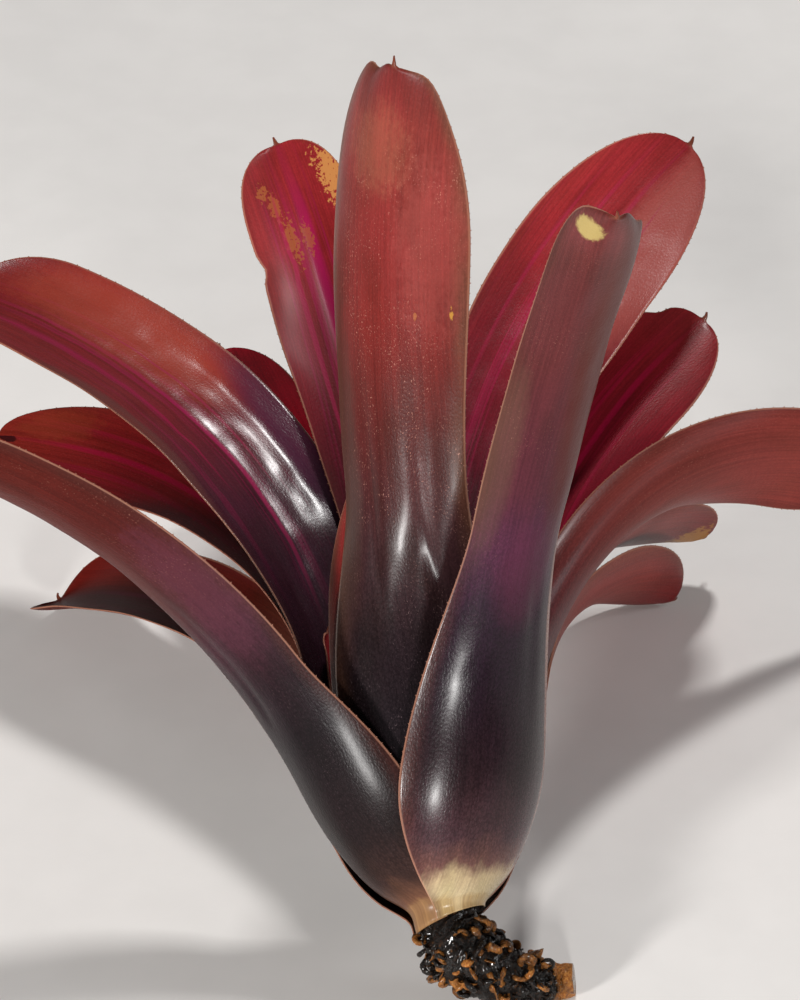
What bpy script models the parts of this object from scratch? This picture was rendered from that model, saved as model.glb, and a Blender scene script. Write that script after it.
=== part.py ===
"""A neoregelia bromeliad with bare roots, lying as it does when lifted from its pot.

The rootstock carries nineteen strap leaves. Their sheaths wind round the short stem in one spiral and
make the cup; above the cup each leaf narrows to a neck, widens to a blade and bends outward.
Lengths are millimetres and angles degrees until MM and math.radians turn them into Blender's units.
The part's frame has its origin on the flat spot that the cut runner rests on, +Z up. The plant leans
back towards +Y, and its right side is at +X.
"""

import math
import random
from typing import NamedTuple

import bmesh
import bpy
import numpy as np
from mathutils import Matrix, Vector

MM = 0.001

# How the plant lies: where the lowest sheath leaves the stem, and how the stem leans from upright.
CROWN = (-24.0, 4.0, 19.0)
LEAN_BACK = 52.0
LEAN_LEFT = 10.0

# The spiral that the sheaths follow: its radius at the foot, and what each full turn takes off it
# and adds to its height. A turn clears the one outside it by more than a sheath's thickness.
STEM_RADIUS = 9.5
TURN_INWARD = 1.15
TURN_UPWARD = 1.6

# The cup's wall flares from the stem and is upright once it is this long.
CUP_FLARE = 60.0
CUP_CURVE = 1.3
CUP_ARC = 37.0

# The sheath starts to turn into the blade at this distance along the midrib.
SHEATH_END = 24.0

# The blade reaches its full width at this share of the way from the neck to the tip.
WIDEST_AT = 0.62
# The sideways bend gathers late, and the neck's roll is gained over this distance.
SWING_POWER = 1.3
ROLL_RUN = 40.0

# Thicknesses of the sheath, of the blade along its middle, and of every margin.
SHEATH_THICK = 0.66
BLADE_THICK = 1.05
MARGIN_THICK = 0.62
THICK_RUN = 60.0

# The short spine that ends each leaf.
SPINE_LENGTH = 2.8
SPINE_ROOT = 1.0
SPINE_END = 0.36
ROUNDING = 2.3

# Faces along and across a leaf.
CUP_ROWS = (0.0, 6.0, 12.0, 18.0, 25.0, 32.0, 40.0)
BLADE_ROWS = 9
TIP_ROWS = 7
SPINE_ROWS = 2
COLUMNS = 7
WIDE_COLUMNS = 9
WIDE_WRAP = 50.0
MIDRIB_STEPS = 400
SHARP_EDGE = 50.0


class Leaf(NamedTuple):
    """One leaf's own sizes, in millimetres and degrees."""

    name: str
    angle: float  # how far round the spiral its middle stands, counted from the first leaf's turn
    length: float
    blade: float  # half width of the blade
    neck: float  # half width of the neck
    neck_at: float  # distance of the neck along the midrib
    tip: float  # length of the rounded tip
    wrap: float  # half of the arc that the sheath covers
    trough: float  # half of the arc that the neck's section curls through
    tip_trough: float
    spread: float  # how far the midrib bends outward by its end
    bend: float  # below 1 the bend comes early, above 1 late
    free: float  # distance along the midrib where the bend begins
    swing: float  # sideways bend
    turn: float  # roll gained by the neck
    twist: float  # roll gained from the neck to the tip
    colour: tuple


LEAVES = [
    Leaf("leaf_01_low_right",
         angle=145.0, length=149.0, blade=17.6, neck=16.0, neck_at=81.0, tip=42.0,
         wrap=24.0, trough=64.0, tip_trough=39.0, spread=93.777, bend=0.85,
         free=12.0, swing=-3.5, turn=16.5, twist=-29.5, colour=(0.402, 0.114, 0.091)),
    Leaf("leaf_02_low_left",
         angle=215.0, length=172.5, blade=15.2, neck=11.7, neck_at=65.5, tip=39.5,
         wrap=34.0, trough=46.0, tip_trough=13.0, spread=79.849, bend=0.72,
         free=22.5, swing=6.0, turn=-10.5, twist=-22.0, colour=(0.156, 0.021, 0.017)),
    Leaf("leaf_03_front_right",
         angle=392.5, length=196.0, blade=10.4, neck=12.3, neck_at=84.0, tip=38.0,
         wrap=54.0, trough=22.0, tip_trough=51.5, spread=94.6, bend=0.65,
         free=14.0, swing=-32.0, turn=3.0, twist=7.0, colour=(0.091, 0.032, 0.038)),
    Leaf("leaf_04_right_tipped",
         angle=493.5, length=163.5, blade=13.8, neck=12.3, neck_at=64.5, tip=35.0,
         wrap=41.0, trough=27.5, tip_trough=16.5, spread=92.2, bend=0.9,
         free=12.0, swing=11.0, turn=2.0, twist=-9.0, colour=(0.352, 0.061, 0.053)),
    Leaf("leaf_05_back_crimson",
         angle=567.0, length=176.5, blade=13.0, neck=10.5, neck_at=66.0, tip=34.0,
         wrap=25.0, trough=30.0, tip_trough=18.5, spread=42.5, bend=0.98,
         free=21.0, swing=-8.5, turn=1.5, twist=-15.5, colour=(0.188, 0.005, 0.021)),
    Leaf("leaf_06_front_left",
         angle=659.0, length=166.0, blade=11.8, neck=13.0, neck_at=59.5, tip=35.5,
         wrap=55.0, trough=25.0, tip_trough=25.0, spread=79.8, bend=0.75,
         free=14.0, swing=0.5, turn=4.0, twist=-6.0, colour=(0.171, 0.038, 0.03)),
    Leaf("leaf_07_right",
         angle=824.7, length=181.0, blade=12.9, neck=12.4, neck_at=84.4, tip=26.5,
         wrap=43.6, trough=93.6, tip_trough=7.6, spread=103.9, bend=0.97,
         free=13.8, swing=29.0, turn=-3.5, twist=-46.8, colour=(0.205, 0.053, 0.045)),
    Leaf("leaf_08_left",
         angle=943.4, length=175.5, blade=15.1, neck=8.4, neck_at=71.3, tip=42.0,
         wrap=33.6, trough=19.2, tip_trough=8.9, spread=68.4, bend=0.68,
         free=57.5, swing=29.7, turn=5.5, twist=-53.3, colour=(0.376, 0.017, 0.032)),
    Leaf("leaf_09_front_middle",
         angle=1085.0, length=185.0, blade=19.5, neck=15.9, neck_at=80.0, tip=39.0,
         wrap=57.0, trough=38.0, tip_trough=41.0, spread=53.6, bend=0.65,
         free=50.5, swing=8.0, turn=-35.0, twist=-21.5, colour=(0.305, 0.045, 0.038)),
    Leaf("leaf_10_right_crimson",
         angle=1206.0, length=166.5, blade=15.2, neck=10.8, neck_at=64.0, tip=34.5,
         wrap=33.0, trough=28.0, tip_trough=18.5, spread=56.8, bend=0.65,
         free=27.0, swing=-12.5, turn=15.5, twist=47.0, colour=(0.141, 0.005, 0.017)),
    Leaf("leaf_11_upper_left",
         angle=1302.5, length=205.0, blade=19.5, neck=16.0, neck_at=55.0, tip=20.0,
         wrap=41.5, trough=39.0, tip_trough=20.0, spread=54.2, bend=0.69,
         free=60.0, swing=28.0, turn=-11.5, twist=-14.5, colour=(0.305, 0.03, 0.032)),
    Leaf("leaf_12_inner_front",
         angle=1452.0, length=122.5, blade=10.5, neck=10.5, neck_at=66.4, tip=36.0,
         wrap=42.0, trough=30.5, tip_trough=25.8, spread=10.4, bend=0.94,
         free=43.0, swing=10.5, turn=-6.0, twist=-2.5, colour=(0.223, 0.026, 0.032)),
    Leaf("leaf_13_back_left",
         angle=1611.0, length=205.0, blade=13.4, neck=8.3, neck_at=70.1, tip=29.0,
         wrap=39.2, trough=19.0, tip_trough=25.5, spread=26.1, bend=1.24,
         free=40.6, swing=11.0, turn=13.0, twist=-14.1, colour=(0.352, 0.019, 0.048)),
    Leaf("leaf_14_inner_left",
         angle=1773.0, length=101.0, blade=9.5, neck=10.2, neck_at=65.0, tip=29.5,
         wrap=35.5, trough=30.5, tip_trough=28.5, spread=-5.0, bend=0.85,
         free=32.5, swing=28.0, turn=2.0, twist=4.0, colour=(0.156, 0.017, 0.045)),
    Leaf("leaf_15_inner_right",
         angle=1850.5, length=73.0, blade=9.5, neck=9.5, neck_at=60.0, tip=28.0,
         wrap=33.5, trough=32.5, tip_trough=25.0, spread=-5.0, bend=0.99,
         free=43.0, swing=-4.0, turn=1.0, twist=1.5, colour=(0.127, 0.014, 0.045)),
    Leaf("leaf_16_back_right",
         angle=1932.5, length=199.0, blade=18.2, neck=10.2, neck_at=66.0, tip=42.5,
         wrap=38.0, trough=30.5, tip_trough=8.0, spread=46.0, bend=0.65,
         free=41.5, swing=-32.0, turn=17.0, twist=42.5, colour=(0.352, 0.023, 0.032)),
    Leaf("leaf_17_young",
         angle=2156.0, length=85.0, blade=9.5, neck=8.3, neck_at=60.0, tip=26.0,
         wrap=44.0, trough=40.0, tip_trough=25.0, spread=-5.0, bend=0.9,
         free=40.5, swing=5.5, turn=0.0, twist=-1.0, colour=(0.114, 0.017, 0.045)),
    Leaf("leaf_18_young",
         angle=2279.5, length=74.5, blade=9.5, neck=8.5, neck_at=58.0, tip=24.0,
         wrap=44.0, trough=38.5, tip_trough=25.0, spread=0.0, bend=1.0,
         free=46.0, swing=0.0, turn=0.0, twist=0.0, colour=(0.102, 0.021, 0.038)),
    Leaf("leaf_19_heart",
         angle=2401.0, length=63.0, blade=9.5, neck=8.4, neck_at=56.0, tip=22.0,
         wrap=44.0, trough=39.0, tip_trough=25.0, spread=-1.8, bend=1.0,
         free=39.5, swing=0.0, turn=0.0, twist=0.0, colour=(0.091, 0.032, 0.032)),
]

# The rootstock: heights of its centre line above the crown with their radii, the first inside the foot
# of the heart leaf, which it carries. Then the points that it passes on its way out to the cut runner,
# whose under side is worn flat where it rests.
STEM_HEIGHTS = (10.8, 4.5, 0.3, -2.2)
STEM_RADII = (1.3, 5.0, 8.3, 8.5)
RUNNER_POINTS = (
    (-20.5, -1.6, 13.6),
    (-13.5, -3.8, 9.7),
    (-6.0, -2.8, 6.3),
    (-1.0, -0.6, 4.5),
    (4.0, 1.6, 4.1),
)
RUNNER_RADII = (8.0, 6.9, 5.3, 4.5, 4.4)
CORE_SIDES = 16
CORE_STEPS = 4
TUBE_START_SIDE = (0.3, -0.5, 0.8)
RUNNER_BARE_STEPS = 8

# The roots: stubby and wiry, sunk into the rootstock and hugging it.
ROOT_COUNT = 30
ROOT_SEED = 7
ROOT_SIDES = 5
ROOT_STEPS = 6
ROOT_LENGTH = (6.0, 15.0)
ROOT_RADIUS = (0.7, 1.15)
ROOT_TIP_RADIUS = 0.45
ROOT_SUNK = 0.75
ROOT_AHEAD = 0.4
ROOT_CURL = 0.55
ROOT_HUG = 0.28
ROOT_CLEAR_OF_SHEATHS = 2.2
ROOT_CLEAR_OF_GROUND = 1.5
CUTTER_SIZE = 200.0
ROOT_COLOUR = (0.045, 0.025, 0.014)
ROOT_ROUGHNESS = 0.55
LEAF_ROUGHNESS = 0.4


def clear_scene():
    """Removes every object of the file that the script runs in."""
    for thing in list(bpy.data.objects):
        bpy.data.objects.remove(thing, do_unlink=True)


def ease(value):
    """A smooth step from 0 to 1."""
    value = np.clip(value, 0.0, 1.0)
    return value * value * (3.0 - 2.0 * value)


def running_sum(values, step):
    """The integral of the values along evenly spaced stations, starting at 0."""
    middles = (values[1:] + values[:-1]) / 2.0
    return np.concatenate([np.zeros_like(values[:1]), np.cumsum(middles, axis=0) * step])


def half_width(leaf, s, cup_radius, blade_part):
    """Half of the leaf's width, measured round its section, at each distance along the midrib."""
    past_neck = (s - leaf.neck_at) / (WIDEST_AT * (leaf.length - leaf.neck_at))
    blade = leaf.neck + (leaf.blade - leaf.neck) * ease(past_neck)
    near_tip = np.clip((s - leaf.length + leaf.tip) / leaf.tip, 0.0, 1.0)
    blade = blade * np.sqrt(1.0 - near_tip**ROUNDING) + SPINE_END
    spine = SPINE_ROOT + (SPINE_END - SPINE_ROOT) * np.clip((s - leaf.length) / SPINE_LENGTH, 0.0, 1.0)
    sheath = cup_radius * math.radians(leaf.wrap)
    return np.maximum(sheath * (1.0 - blade_part) + blade * blade_part, spine)


def stations(leaf):
    """Distances along the midrib of the rows of faces, closer together round the tip."""
    body = np.append(CUP_ROWS, np.linspace(CUP_ROWS[-1], leaf.length - leaf.tip, BLADE_ROWS + 1)[1:])
    around = np.sin(np.linspace(0.0, math.pi / 2.0, TIP_ROWS + 1))[1:]
    tip = leaf.length - leaf.tip + leaf.tip * around
    spine = leaf.length + SPINE_LENGTH * np.linspace(0.0, 1.0, SPINE_ROWS + 1)[1:]
    return np.concatenate([body, tip, spine])


def columns_across(leaf):
    """Places of the columns across the leaf, from -1 at one margin to 1 at the other."""
    return np.linspace(-1.0, 1.0, WIDE_COLUMNS if leaf.wrap > WIDE_WRAP else COLUMNS)


def at_rows(rows, s, values):
    """Values known at the distances s, read off at the rows."""
    return np.stack([np.interp(rows, s, column) for column in values.T], axis=-1)


def middle_surface(leaf):
    """Points halfway through the leaf as (row, column, 3), with the leaf's azimuth towards -Y."""
    s = np.linspace(0.0, leaf.length + SPINE_LENGTH, MIDRIB_STEPS)
    step = s[1]
    flare = np.radians(CUP_FLARE) * (1.0 - np.clip(s / CUP_ARC, 0.0, 1.0)) ** CUP_CURVE
    along = np.clip((s - leaf.free) / (leaf.length - leaf.free), 0.0, None)
    tilt = flare + math.radians(leaf.spread) * along**leaf.bend
    swing = math.radians(leaf.swing) * along**SWING_POWER
    roll = math.radians(leaf.turn) * ease((s - leaf.free) / ROLL_RUN) + math.radians(leaf.twist) * along
    outward, across, up = np.array([0.0, -1.0, 0.0]), np.array([1.0, 0.0, 0.0]), np.array([0.0, 0.0, 1.0])
    rise = np.sin(tilt)[:, None] * outward + np.cos(tilt)[:, None] * up
    forward = np.cos(swing)[:, None] * rise + np.sin(swing)[:, None] * across
    side = np.cos(swing)[:, None] * across - np.sin(swing)[:, None] * rise
    foot = STEM_RADIUS - TURN_INWARD * leaf.angle / 360.0
    midrib = running_sum(forward, step) + foot * outward
    cup_radius = foot + running_sum(np.sin(flare), step)
    blade_part = ease((s - SHEATH_END) / (leaf.neck_at - SHEATH_END))
    facing = tilt * blade_part
    inward = np.sin(facing)[:, None] * up - np.cos(facing)[:, None] * outward
    turned_side = np.cos(roll)[:, None] * side + np.sin(roll)[:, None] * inward
    turned_in = np.cos(roll)[:, None] * inward - np.sin(roll)[:, None] * side
    past_neck = ease((s - leaf.neck_at) / (leaf.length - leaf.neck_at))
    trough = leaf.trough + (leaf.tip_trough - leaf.trough) * past_neck
    curl = np.radians(leaf.wrap * (1.0 - blade_part) + trough * blade_part)
    radius = half_width(leaf, s, cup_radius, blade_part) / curl

    rows = stations(leaf)
    midrib, turned_side, turned_in = (at_rows(rows, s, v) for v in (midrib, turned_side, turned_in))
    radius, curl, blade_part = (at_rows(rows, s, v[:, None]) for v in (radius, curl, blade_part))
    around = curl * columns_across(leaf)
    wound = (1.0 - blade_part) * np.degrees(around) / 360.0
    section = radius - TURN_INWARD * wound
    points = midrib[:, None] + (section * np.sin(around))[..., None] * turned_side[:, None]
    points = points + (radius - section * np.cos(around))[..., None] * turned_in[:, None]
    points[..., 2] += TURN_UPWARD * wound
    return points


def half_thickness(leaf):
    """Half of the thickness at each row and column."""
    rows = stations(leaf)[:, None]
    across = columns_across(leaf)[None, :]
    middle = SHEATH_THICK + (BLADE_THICK - SHEATH_THICK) * ease((rows - THICK_RUN / 2.0) / THICK_RUN)
    middle = middle + (MARGIN_THICK - middle) * ease((rows - leaf.length + leaf.tip) / leaf.tip)
    return (MARGIN_THICK + (middle - MARGIN_THICK) * (1.0 - across**2)) / 2.0


def leaf_mesh(leaf):
    """The leaf as one closed body: its inner and outer face, split alike, and the rim between them."""
    points = middle_surface(leaf)
    normals = np.cross(np.gradient(points, axis=1), np.gradient(points, axis=0))
    normals /= np.linalg.norm(normals, axis=-1, keepdims=True)
    offset = normals * half_thickness(leaf)[..., None]
    bm = bmesh.new()
    outer, inner = ([[bm.verts.new(Vector(point) * MM) for point in row] for row in skin]
                    for skin in (points + offset, points - offset))
    rows, columns = points.shape[:2]
    for i in range(rows - 1):
        for j in range(columns - 1):
            for skin, turned in ((outer, False), (inner, True)):
                a, b, c, d = skin[i][j], skin[i][j + 1], skin[i + 1][j + 1], skin[i + 1][j]
                for triangle in ((a, b, c), (a, c, d)):
                    bm.faces.new(reversed(triangle) if turned else triangle)
    rim = [(0, j) for j in range(columns)] + [(i, columns - 1) for i in range(1, rows)]
    rim += [(rows - 1, j) for j in range(columns - 2, -1, -1)] + [(i, 0) for i in range(rows - 2, 0, -1)]
    for (i, j), (k, m) in zip(rim, rim[1:] + rim[:1]):
        a, b, c, d = outer[i][j], inner[i][j], inner[k][m], outer[k][m]
        bm.faces.new((a, b, c))
        bm.faces.new((a, c, d))
    bmesh.ops.recalc_face_normals(bm, faces=bm.faces)
    mesh = bpy.data.meshes.new(leaf.name)
    bm.to_mesh(mesh)
    bm.free()
    return mesh


def material(name, colour, roughness):
    """A plain Principled material."""
    made = bpy.data.materials.new(name)
    made.use_nodes = True
    shader = made.node_tree.nodes["Principled BSDF"]
    shader.inputs["Base Color"].default_value = (*colour, 1.0)
    shader.inputs["Roughness"].default_value = roughness
    shader.inputs["Metallic"].default_value = 0.0
    return made


def add_object(name, mesh, finish):
    """Links a mesh to the scene as one named object with its material."""
    thing = bpy.data.objects.new(name, mesh)
    mesh.materials.append(finish)
    mesh.shade_smooth()
    mesh.set_sharp_from_angle(angle=math.radians(SHARP_EDGE))
    bpy.context.scene.collection.objects.link(thing)
    return thing


def leaning():
    """The turn from a plant that stands upright to one that leans on its back leaves."""
    return (Matrix.Rotation(-math.radians(LEAN_BACK), 3, "X")
            @ Matrix.Rotation(-math.radians(LEAN_LEFT), 3, "Y"))


def lying_plant():
    """The empty at the crown that every leaf hangs from, turned as the plant lies."""
    axis = bpy.data.objects.new("stem_axis", None)
    axis.hide_render = True
    bpy.context.scene.collection.objects.link(axis)
    axis.matrix_world = Matrix.Translation(Vector(CROWN) * MM) @ leaning().to_4x4()
    return axis


def add_leaf(leaf, axis):
    """Makes one leaf and turns and lifts it to its place on the spiral."""
    thing = add_object(leaf.name, leaf_mesh(leaf), material(leaf.name, leaf.colour, LEAF_ROUGHNESS))
    thing.parent = axis
    thing.rotation_euler = (0.0, 0.0, math.radians(leaf.angle % 360.0))
    thing.location = (0.0, 0.0, TURN_UPWARD * leaf.angle / 360.0 * MM)
    return thing


def smooth_route(points, steps):
    """A curve through the points (Catmull-Rom), as a list of vectors."""
    ends = [points[0] * 2.0 - points[1], *points, points[-1] * 2.0 - points[-2]]
    route = []
    for a, b, c, d in zip(ends, ends[1:], ends[2:], ends[3:]):
        for step in range(steps):
            t = step / steps
            route.append(0.5 * (2.0 * b + (c - a) * t + (2.0 * a - 5.0 * b + 4.0 * c - d) * t**2
                                + (3.0 * b - a - 3.0 * c + d) * t**3))
    return [*route, points[-1]]


def tube_mesh(name, route, radii, sides):
    """A closed round body of changing radius along a route."""
    bm = bmesh.new()
    across = Vector(TUBE_START_SIDE)
    rings = []
    for i, (centre, radius) in enumerate(zip(route, radii)):
        ahead = (route[min(i + 1, len(route) - 1)] - route[max(i - 1, 0)]).normalized()
        across = (across - ahead * across.dot(ahead)).normalized()
        over = ahead.cross(across)
        turns = [2.0 * math.pi * k / sides for k in range(sides)]
        spokes = [across * math.cos(turn) + over * math.sin(turn) for turn in turns]
        rings.append([bm.verts.new((centre + spoke * radius) * MM) for spoke in spokes])
    for near, far in zip(rings, rings[1:]):
        for k in range(sides):
            a, b, c, d = near[k], near[(k + 1) % sides], far[(k + 1) % sides], far[k]
            bm.faces.new((a, b, c))
            bm.faces.new((a, c, d))
    for ring in (rings[0], rings[-1]):
        hub = bm.verts.new(sum((v.co for v in ring), Vector()) / sides)
        for k in range(sides):
            bm.faces.new((ring[k], ring[(k + 1) % sides], hub))
    bmesh.ops.recalc_face_normals(bm, faces=bm.faces)
    mesh = bpy.data.meshes.new(name)
    bm.to_mesh(mesh)
    bm.free()
    return mesh


def core_route():
    """The rootstock's centre line with its radii, and the direction of the stem."""
    stem = leaning() @ Vector((0.0, 0.0, 1.0))
    points = [Vector(CROWN) + stem * height for height in STEM_HEIGHTS]
    points += [Vector(point) for point in RUNNER_POINTS]
    route = smooth_route(points, CORE_STEPS)
    places = np.linspace(0.0, len(points) - 1.0, len(route))
    radii = np.interp(places, range(len(points)), [*STEM_RADII, *RUNNER_RADII])
    return route, radii, stem


def above_crown(point, stem):
    """How far a point stands along the stem above the crown."""
    return (point - Vector(CROWN)).dot(stem)


def root_start(rng, route, radii, stem):
    """A place on the rootstock's skin, well clear of the sheaths and the ground, with its directions."""
    while True:
        i = rng.randrange(CORE_STEPS * (len(STEM_HEIGHTS) - 1), len(route) - RUNNER_BARE_STEPS)
        ahead = (route[i + 1] - route[i]).normalized()
        side = ahead.orthogonal().normalized()
        side.rotate(Matrix.Rotation(rng.uniform(0.0, 2.0 * math.pi), 3, ahead))
        point = route[i] + side * radii[i] * ROOT_SUNK
        if above_crown(point, stem) < -ROOT_CLEAR_OF_SHEATHS and point.z > 2.0 * ROOT_CLEAR_OF_GROUND:
            return point, side, ahead, route[i]


def root_route(rng, route, radii, stem):
    """One wiry root: out of the rootstock, then curling back along it."""
    point, side, ahead, core = root_start(rng, route, radii, stem)
    heading = (side + ROOT_AHEAD * ahead).normalized()
    curl = Vector([rng.uniform(-ROOT_CURL, ROOT_CURL) for _ in range(3)])
    pace = rng.uniform(*ROOT_LENGTH) / ROOT_STEPS
    made = [point]
    for step in range(ROOT_STEPS):
        point = point + heading * pace
        point = point - stem * max(above_crown(point, stem) + ROOT_CLEAR_OF_SHEATHS, 0.0)
        point.z = max(point.z, ROOT_CLEAR_OF_GROUND)
        made.append(point.copy())
        back = (core - point).normalized() * ROOT_HUG * step / ROOT_STEPS
        heading = (heading + curl.cross(heading) + back + ROOT_AHEAD / 2.0 * ahead).normalized()
    return made


def join_all(thing, others):
    """Joins the others to a thing with one Boolean union, and removes them."""
    group = bpy.data.collections.new("joined_roots")
    bpy.context.scene.collection.children.link(group)
    for other in others:
        group.objects.link(other)
        bpy.context.scene.collection.objects.unlink(other)
    union = thing.modifiers.new("roots", "BOOLEAN")
    union.operand_type = "COLLECTION"
    union.operation = "UNION"
    union.solver = "EXACT"
    union.collection = group
    apply_modifier(thing, union)
    for other in list(group.objects):
        bpy.data.objects.remove(other, do_unlink=True)
    bpy.data.collections.remove(group)


def ground_cutter():
    """A block whose top is the ground."""
    mesh = bpy.data.meshes.new("ground_cutter")
    bm = bmesh.new()
    bmesh.ops.create_cube(bm, size=CUTTER_SIZE * MM)
    bmesh.ops.translate(bm, verts=bm.verts, vec=(0.0, 0.0, -CUTTER_SIZE * MM / 2.0))
    bm.to_mesh(mesh)
    bm.free()
    ground = bpy.data.objects.new("ground_cutter", mesh)
    bpy.context.scene.collection.objects.link(ground)
    return ground


def apply_modifier(thing, modifier):
    """Applies one modifier of an object."""
    with bpy.context.temp_override(object=thing, active_object=thing, selected_objects=[thing]):
        bpy.ops.object.modifier_apply(modifier=modifier.name)


def add_rootstock():
    """The stem inside the sheaths, the old rootstock below them, its roots and the cut runner it rests on."""
    route, radii, stem = core_route()
    finish = material("rootstock", ROOT_COLOUR, ROOT_ROUGHNESS)
    rootstock = add_object("rootstock", tube_mesh("rootstock", route, radii, CORE_SIDES), finish)
    rng = random.Random(ROOT_SEED)
    roots = []
    for number in range(ROOT_COUNT):
        points = root_route(rng, route, radii, stem)
        taper = np.linspace(rng.uniform(*ROOT_RADIUS), ROOT_TIP_RADIUS, len(points))
        roots.append(add_object(f"root_{number:02d}", tube_mesh("root", points, taper, ROOT_SIDES), finish))
    join_all(rootstock, roots)
    ground = ground_cutter()
    cut = rootstock.modifiers.new("resting_flat", "BOOLEAN")
    cut.operation = "DIFFERENCE"
    cut.solver = "EXACT"
    cut.object = ground
    apply_modifier(rootstock, cut)
    bpy.data.objects.remove(ground, do_unlink=True)
    return rootstock


def main():
    """Builds the rootstock and every leaf in place."""
    clear_scene()
    add_rootstock()
    axis = lying_plant()
    for leaf in LEAVES:
        add_leaf(leaf, axis)


if __name__ == "__main__":
    main()
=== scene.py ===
"""Looks of a bare-root neoregelia bromeliad that lies on its back leaves.

Each leaf and the rootstock replace the plain solid of the same name with a finer piece in the same place.
Lengths are millimetres and angles degrees in the dataclasses; meshes are made in metres.
"""

import logging
import math
import random
from dataclasses import dataclass
from enum import Enum
from typing import Sequence

import bmesh
import bpy
import numpy as np
from mathutils import Matrix, Vector, noise


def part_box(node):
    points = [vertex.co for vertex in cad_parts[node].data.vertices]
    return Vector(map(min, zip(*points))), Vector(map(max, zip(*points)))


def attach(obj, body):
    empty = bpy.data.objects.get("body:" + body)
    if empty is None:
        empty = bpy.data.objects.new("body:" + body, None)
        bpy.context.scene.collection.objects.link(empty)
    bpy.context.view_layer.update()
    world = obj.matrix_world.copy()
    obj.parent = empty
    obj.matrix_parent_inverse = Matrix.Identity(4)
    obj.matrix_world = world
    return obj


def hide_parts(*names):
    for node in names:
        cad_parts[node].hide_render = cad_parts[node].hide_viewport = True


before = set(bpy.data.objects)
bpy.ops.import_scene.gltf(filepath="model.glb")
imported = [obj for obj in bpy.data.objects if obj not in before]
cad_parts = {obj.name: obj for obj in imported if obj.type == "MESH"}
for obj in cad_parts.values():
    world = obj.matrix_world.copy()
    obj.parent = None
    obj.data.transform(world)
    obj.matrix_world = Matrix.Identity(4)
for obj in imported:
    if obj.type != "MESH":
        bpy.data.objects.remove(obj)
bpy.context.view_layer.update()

LOG = logging.getLogger("bromeliad")
MM = 0.001

Array = np.ndarray
Socket = bpy.types.NodeSocket
Colour = tuple[float, float, float]
Place = tuple[float, float, float]
Stops = tuple[tuple[float, Colour], ...]


class Face(Enum):
    """The two faces of a leaf."""

    OUTER = 0.0
    INNER = 1.0


class Blend(Enum):
    """Ways in which two colours are mixed."""

    MIX = "MIX"
    MULTIPLY = "MULTIPLY"


class Kind(Enum):
    """Kinds of value that a node group takes in and puts out."""

    FLOAT = "NodeSocketFloat"
    VECTOR = "NodeSocketVector"
    COLOUR = "NodeSocketColor"


def linear(colour: Colour) -> tuple[float, float, float, float]:
    """Turns a colour on the 0 to 255 scale of a screen into linear light.

    Args:
        colour: red, green and blue from 0 to 255.

    Returns:
        Red, green, blue and an alpha of 1, in linear light.
    """
    parts = [c / 255.0 for c in colour]
    made = [c / 12.92 if c <= 0.04045 else ((c + 0.055) / 1.055) ** 2.4 for c in parts]
    return (made[0], made[1], made[2], 1.0)


def held(value: float) -> float:
    """Holds a value from 0 to 1."""
    return min(max(value, 0.0), 1.0)


def ease(value: Array) -> Array:
    """A smooth step from 0 at 0 and below to 1 at 1 and above."""
    value = np.clip(value, 0.0, 1.0)
    return value * value * (3.0 - 2.0 * value)


def bell(values: Array, middle: float, width: float) -> Array:
    """A smooth hump of height 1 round a middle, that falls off over a width."""
    return np.exp(-(((values - middle) / width) ** 2))


def unit(vectors: Array) -> Array:
    """The vectors at a length of 1."""
    return vectors / np.linalg.norm(vectors, axis=-1, keepdims=True)


def turned(first: Array, second: Array, angle: Array) -> tuple[Array, Array]:
    """Two directions square to each other, after the first has turned towards the second in each row."""
    along, over = np.cos(angle)[:, None], np.sin(angle)[:, None]
    return along * first + over * second, along * second - over * first


def running_sum(values: Array, step: float) -> Array:
    """The integral of values at stations a step apart, starting at 0."""
    middles = (values[1:] + values[:-1]) / 2.0
    return np.concatenate([np.zeros_like(values[:1]), np.cumsum(middles, axis=0) * step])


def add_object(name: str, data: bpy.types.ID) -> bpy.types.Object:
    """Adds an object to the scene.

    Args:
        name: its name.
        data: its mesh, light or camera.

    Returns:
        The object.
    """
    made = bpy.data.objects.new(name, data)
    bpy.context.scene.collection.objects.link(made)
    return made


def smooth_piece(name: str, points: Sequence, faces: Sequence, values: dict[str, Array]) -> bpy.types.Object:
    """Makes one smooth object with every face turned outward.

    Args:
        name: its name.
        points: its points in metres.
        faces: each face as the numbers of its points.
        values: what its material reads, by name, as one number or vector for each point.

    Returns:
        The object, added to the scene.
    """
    mesh = bpy.data.meshes.new(name)
    mesh.from_pydata(points, [], faces)
    for label, given in values.items():
        kind, slot = ("FLOAT", "value") if given.ndim == 1 else ("FLOAT_VECTOR", "vector")
        flat = given.astype(np.float32).reshape(-1)
        mesh.attributes.new(label, kind, "POINT").data.foreach_set(slot, flat)
    bm = bmesh.new()
    bm.from_mesh(mesh)
    bmesh.ops.recalc_face_normals(bm, faces=bm.faces)
    bm.to_mesh(mesh)
    bm.free()
    mesh.shade_smooth()
    return add_object(name, mesh)


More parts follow.
